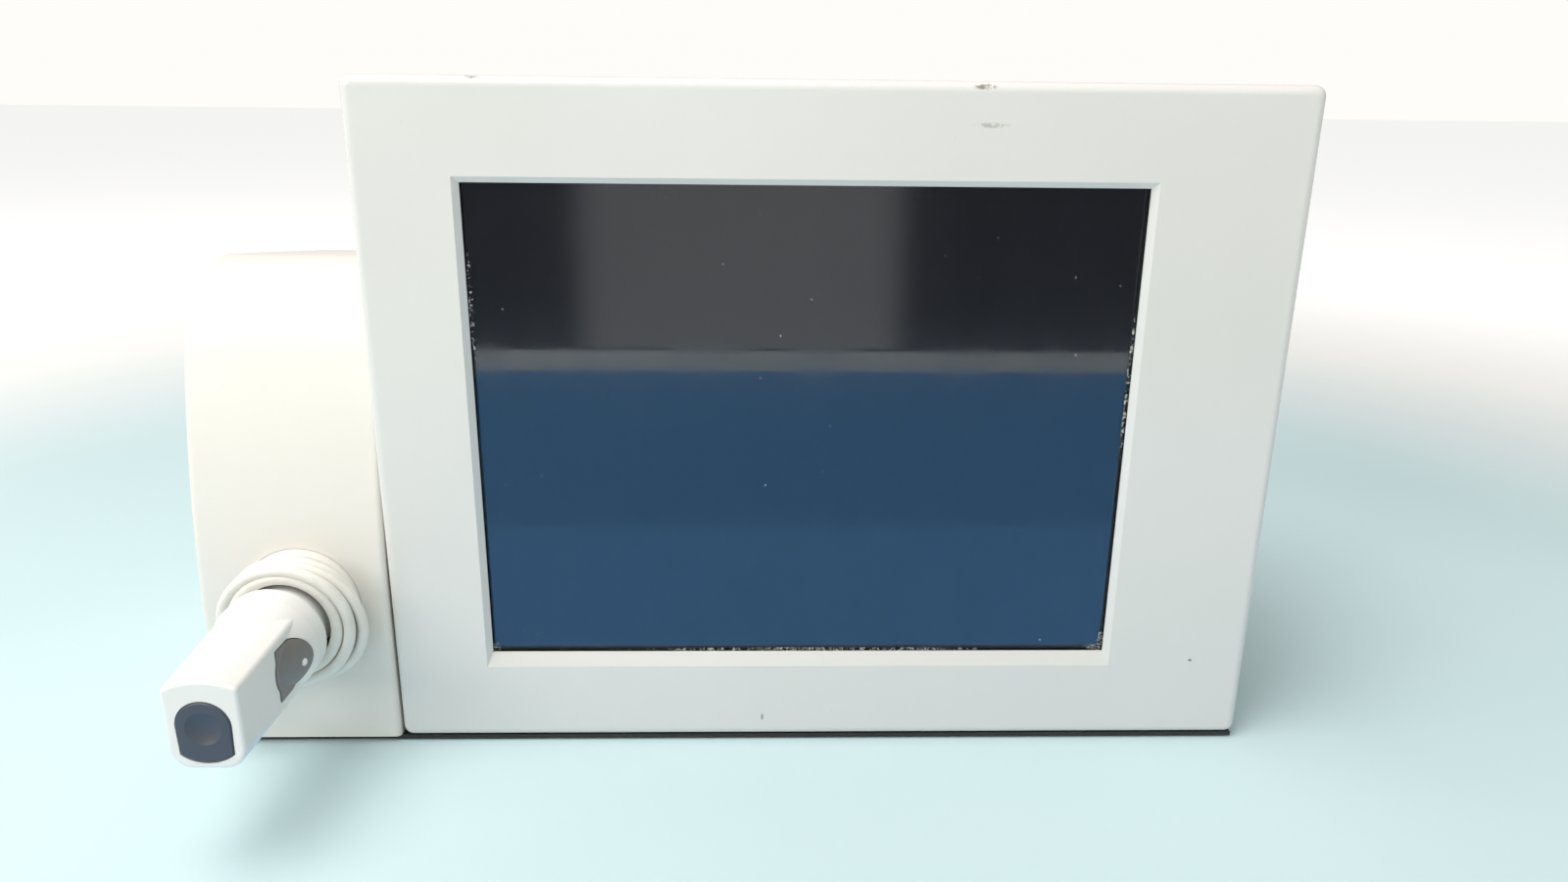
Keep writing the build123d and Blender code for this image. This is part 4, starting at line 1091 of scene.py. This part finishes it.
@dataclass
class Studio:
    """Camera, pale floor, soft lights, and the painted reflections that the screen mirrors; metres
    and degrees.
    """

    eye: Triple = (0.0076, -0.4477, 0.2574)
    yaw: float = 1.67
    pitch: float = 17.48
    roll: float = 0.68
    lens: float = 25.74
    sensor: float = 36.0
    clip_start: float = 0.01
    floor_reach: float = 12.0
    floor_near: tuple[Triple, Triple] = ((0.6, 0.76, 0.8), (0.57, 0.73, 0.77))
    floor_far: Triple = (0.85, 0.86, 0.86)
    floor_fades: tuple[float, float] = (0.5, 0.95)
    floor_glows: tuple[float, float] = (0.55, 1.5)
    floor_glow: float = 0.5
    floor_tone_mm: float = 400.0
    floor_grain_mm: float = 1.4
    floor_grain_depth: float = 0.05
    # painted reflection: a card that glows brighter in its middle, seen only mirrored in the screen
    card_place: Triple = (-0.01, -0.76, 0.05)
    card_left: tuple[float, float] = (-0.2, -0.13)
    card_right: tuple[float, float] = (0.12, 0.19)
    card_glow: tuple[float, float] = (0.06, 0.52)
    card_colour: Triple = (1.0, 0.97, 0.97)
    world_colour: Triple = (1.0, 0.98, 0.955)
    world_light: float = 0.48
    world_seen: float = 1.0
    # painted reflections in the screen: two glowing blue boards in front of it and a dark one
    # further out
    painted_reflections: tuple[PaintedReflection, ...] = (
        PaintedReflection("near_blue_board", (-1.6, 1.6), (-0.27, -0.05), (0.155, 0.39, 0.76), 0.9),
        PaintedReflection("blue_board", (-1.6, 1.6), (-0.665, -0.27), (0.125, 0.325, 0.62), 0.9),
        PaintedReflection("dark_board", (-4.0, 4.0), (-4.5, -0.75), (0.02, 0.02, 0.022), 0.2),
    )
    lamps: tuple[Lamp, ...] = (
        Lamp("overhead", (-0.45, -0.35, 1.5), (0.0, 0.05, 0.1), 1.1, 20.0, (1.0, 0.965, 0.91)),
        Lamp("front_left", (-1.3, -1.2, 0.9), (0.0, 0.0, 0.12), 1.0, 11.8, (1.0, 0.965, 0.905)),
    )

    def camera(self) -> None:
        """Place the camera."""
        data = bpy.data.cameras.new("camera")
        data.lens, data.sensor_width = self.lens, self.sensor
        data.clip_start = self.clip_start
        seat = bpy.data.objects.new("camera", data)
        yaw = Matrix.Rotation(math.radians(-self.yaw), 3, "Z")
        tilt = Matrix.Rotation(math.radians(90.0 - self.pitch), 3, "X")
        roll = Matrix.Rotation(math.radians(self.roll), 3, "Z")
        seat.location = self.eye
        seat.rotation_euler = (yaw @ tilt @ roll).to_euler()
        bpy.context.scene.collection.objects.link(seat)
        bpy.context.scene.camera = seat

    def floor(self) -> None:
        """Lay the pale floor, faintly blue round the object and white far away."""
        span = (-self.floor_reach, self.floor_reach)
        piece = Sheet("floor").level(span, span, 0.0)
        shader = Shader("Pale studio floor")
        away = shader.tree.nodes.new("ShaderNodeVectorMath")
        away.operation = "LENGTH"
        shader.wire(shader.place, away.inputs[0])
        far = shader.ramp(away.outputs["Value"], *self.floor_fades)
        tone = shader.ramp(shader.noise(self.floor_tone_mm, 3.0), 0.3, 0.7)
        colour = shader.blend(far, shader.blend(tone, *self.floor_near), self.floor_far)
        shader.wire(colour, shader.bsdf.inputs["Base Color"])
        shader.constants(
            Roughness=0.8, Specular_IOR_Level=0.0, Emission_Color=(1.0, 1.0, 1.0, 1.0)
        )
        glow = shader.ramp(away.outputs["Value"], *self.floor_glows, 0.0, self.floor_glow)
        shader.wire(glow, shader.bsdf.inputs["Emission Strength"])
        shader.raise_by(shader.noise(self.floor_grain_mm, 2.0), self.floor_grain_depth, 0.3)
        piece.data.materials.append(shader.material)

    def back_card(self) -> None:
        """Stand a card behind the camera that glows most in its middle, seen only in glossy
        surfaces: a painted reflection.
        """
        upright = Matrix.Rotation(math.radians(90.0), 4, "X")
        piece = Sheet("back_card", True).build(Matrix.Translation(self.card_place) @ upright)
        shader = Shader("Painted reflection card")
        apart = shader.tree.nodes.new("ShaderNodeSeparateXYZ")
        shader.wire(shader.place, apart.inputs[0])
        left = shader.ramp(apart.outputs["X"], *self.card_left)
        right = shader.ramp(apart.outputs["X"], *self.card_right, 1.0, 0.0)
        glow = shader.ramp(shader.times(left, right), 0.0, 1.0, *self.card_glow)
        shader.constants(
            Base_Color=(0.02, 0.02, 0.02, 1.0), Emission_Color=(*self.card_colour, 1.0)
        )
        shader.wire(glow, shader.bsdf.inputs["Emission Strength"])
        piece.data.materials.append(shader.material)

    def world(self) -> None:
        """Set the surrounding light, brighter where the camera sees it."""
        world = bpy.data.worlds.new("studio")
        bpy.context.scene.world = world
        world.use_nodes = True
        tree = world.node_tree
        back = tree.nodes["Background"]
        back.inputs["Color"].default_value = (*self.world_colour, 1.0)
        seen = tree.nodes.new("ShaderNodeLightPath")
        level = tree.nodes.new("ShaderNodeMapRange")
        level.inputs["To Min"].default_value = self.world_light
        level.inputs["To Max"].default_value = self.world_seen
        tree.links.new(seen.outputs["Is Camera Ray"], level.inputs["Value"])
        tree.links.new(level.outputs["Result"], back.inputs["Strength"])

    def build(self) -> None:
        """Set up the whole stage."""
        self.floor()
        for painted_reflection in self.painted_reflections:
            painted_reflection.build()
        self.back_card()
        self.world()
        for lamp in self.lamps:
            lamp.build()
        bpy.context.scene.view_settings.view_transform = "Standard"
        bpy.context.scene.view_settings.look = "None"
        LOG.info("set up the stage")


def main() -> None:
    """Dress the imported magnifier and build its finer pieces."""
    logging.basicConfig(level=logging.INFO, format="%(name)s: %(message)s")
    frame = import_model()
    palette = Palette()
    studio = Studio()
    studio.camera()
    CameraCord().build(palette["cord"])
    palette.dress_nodes(frame["nodes"])
    HandCameraDetails().build(palette)
    SocketDetails().build(palette)
    studio.build()


if __name__ == "__main__":
    main()
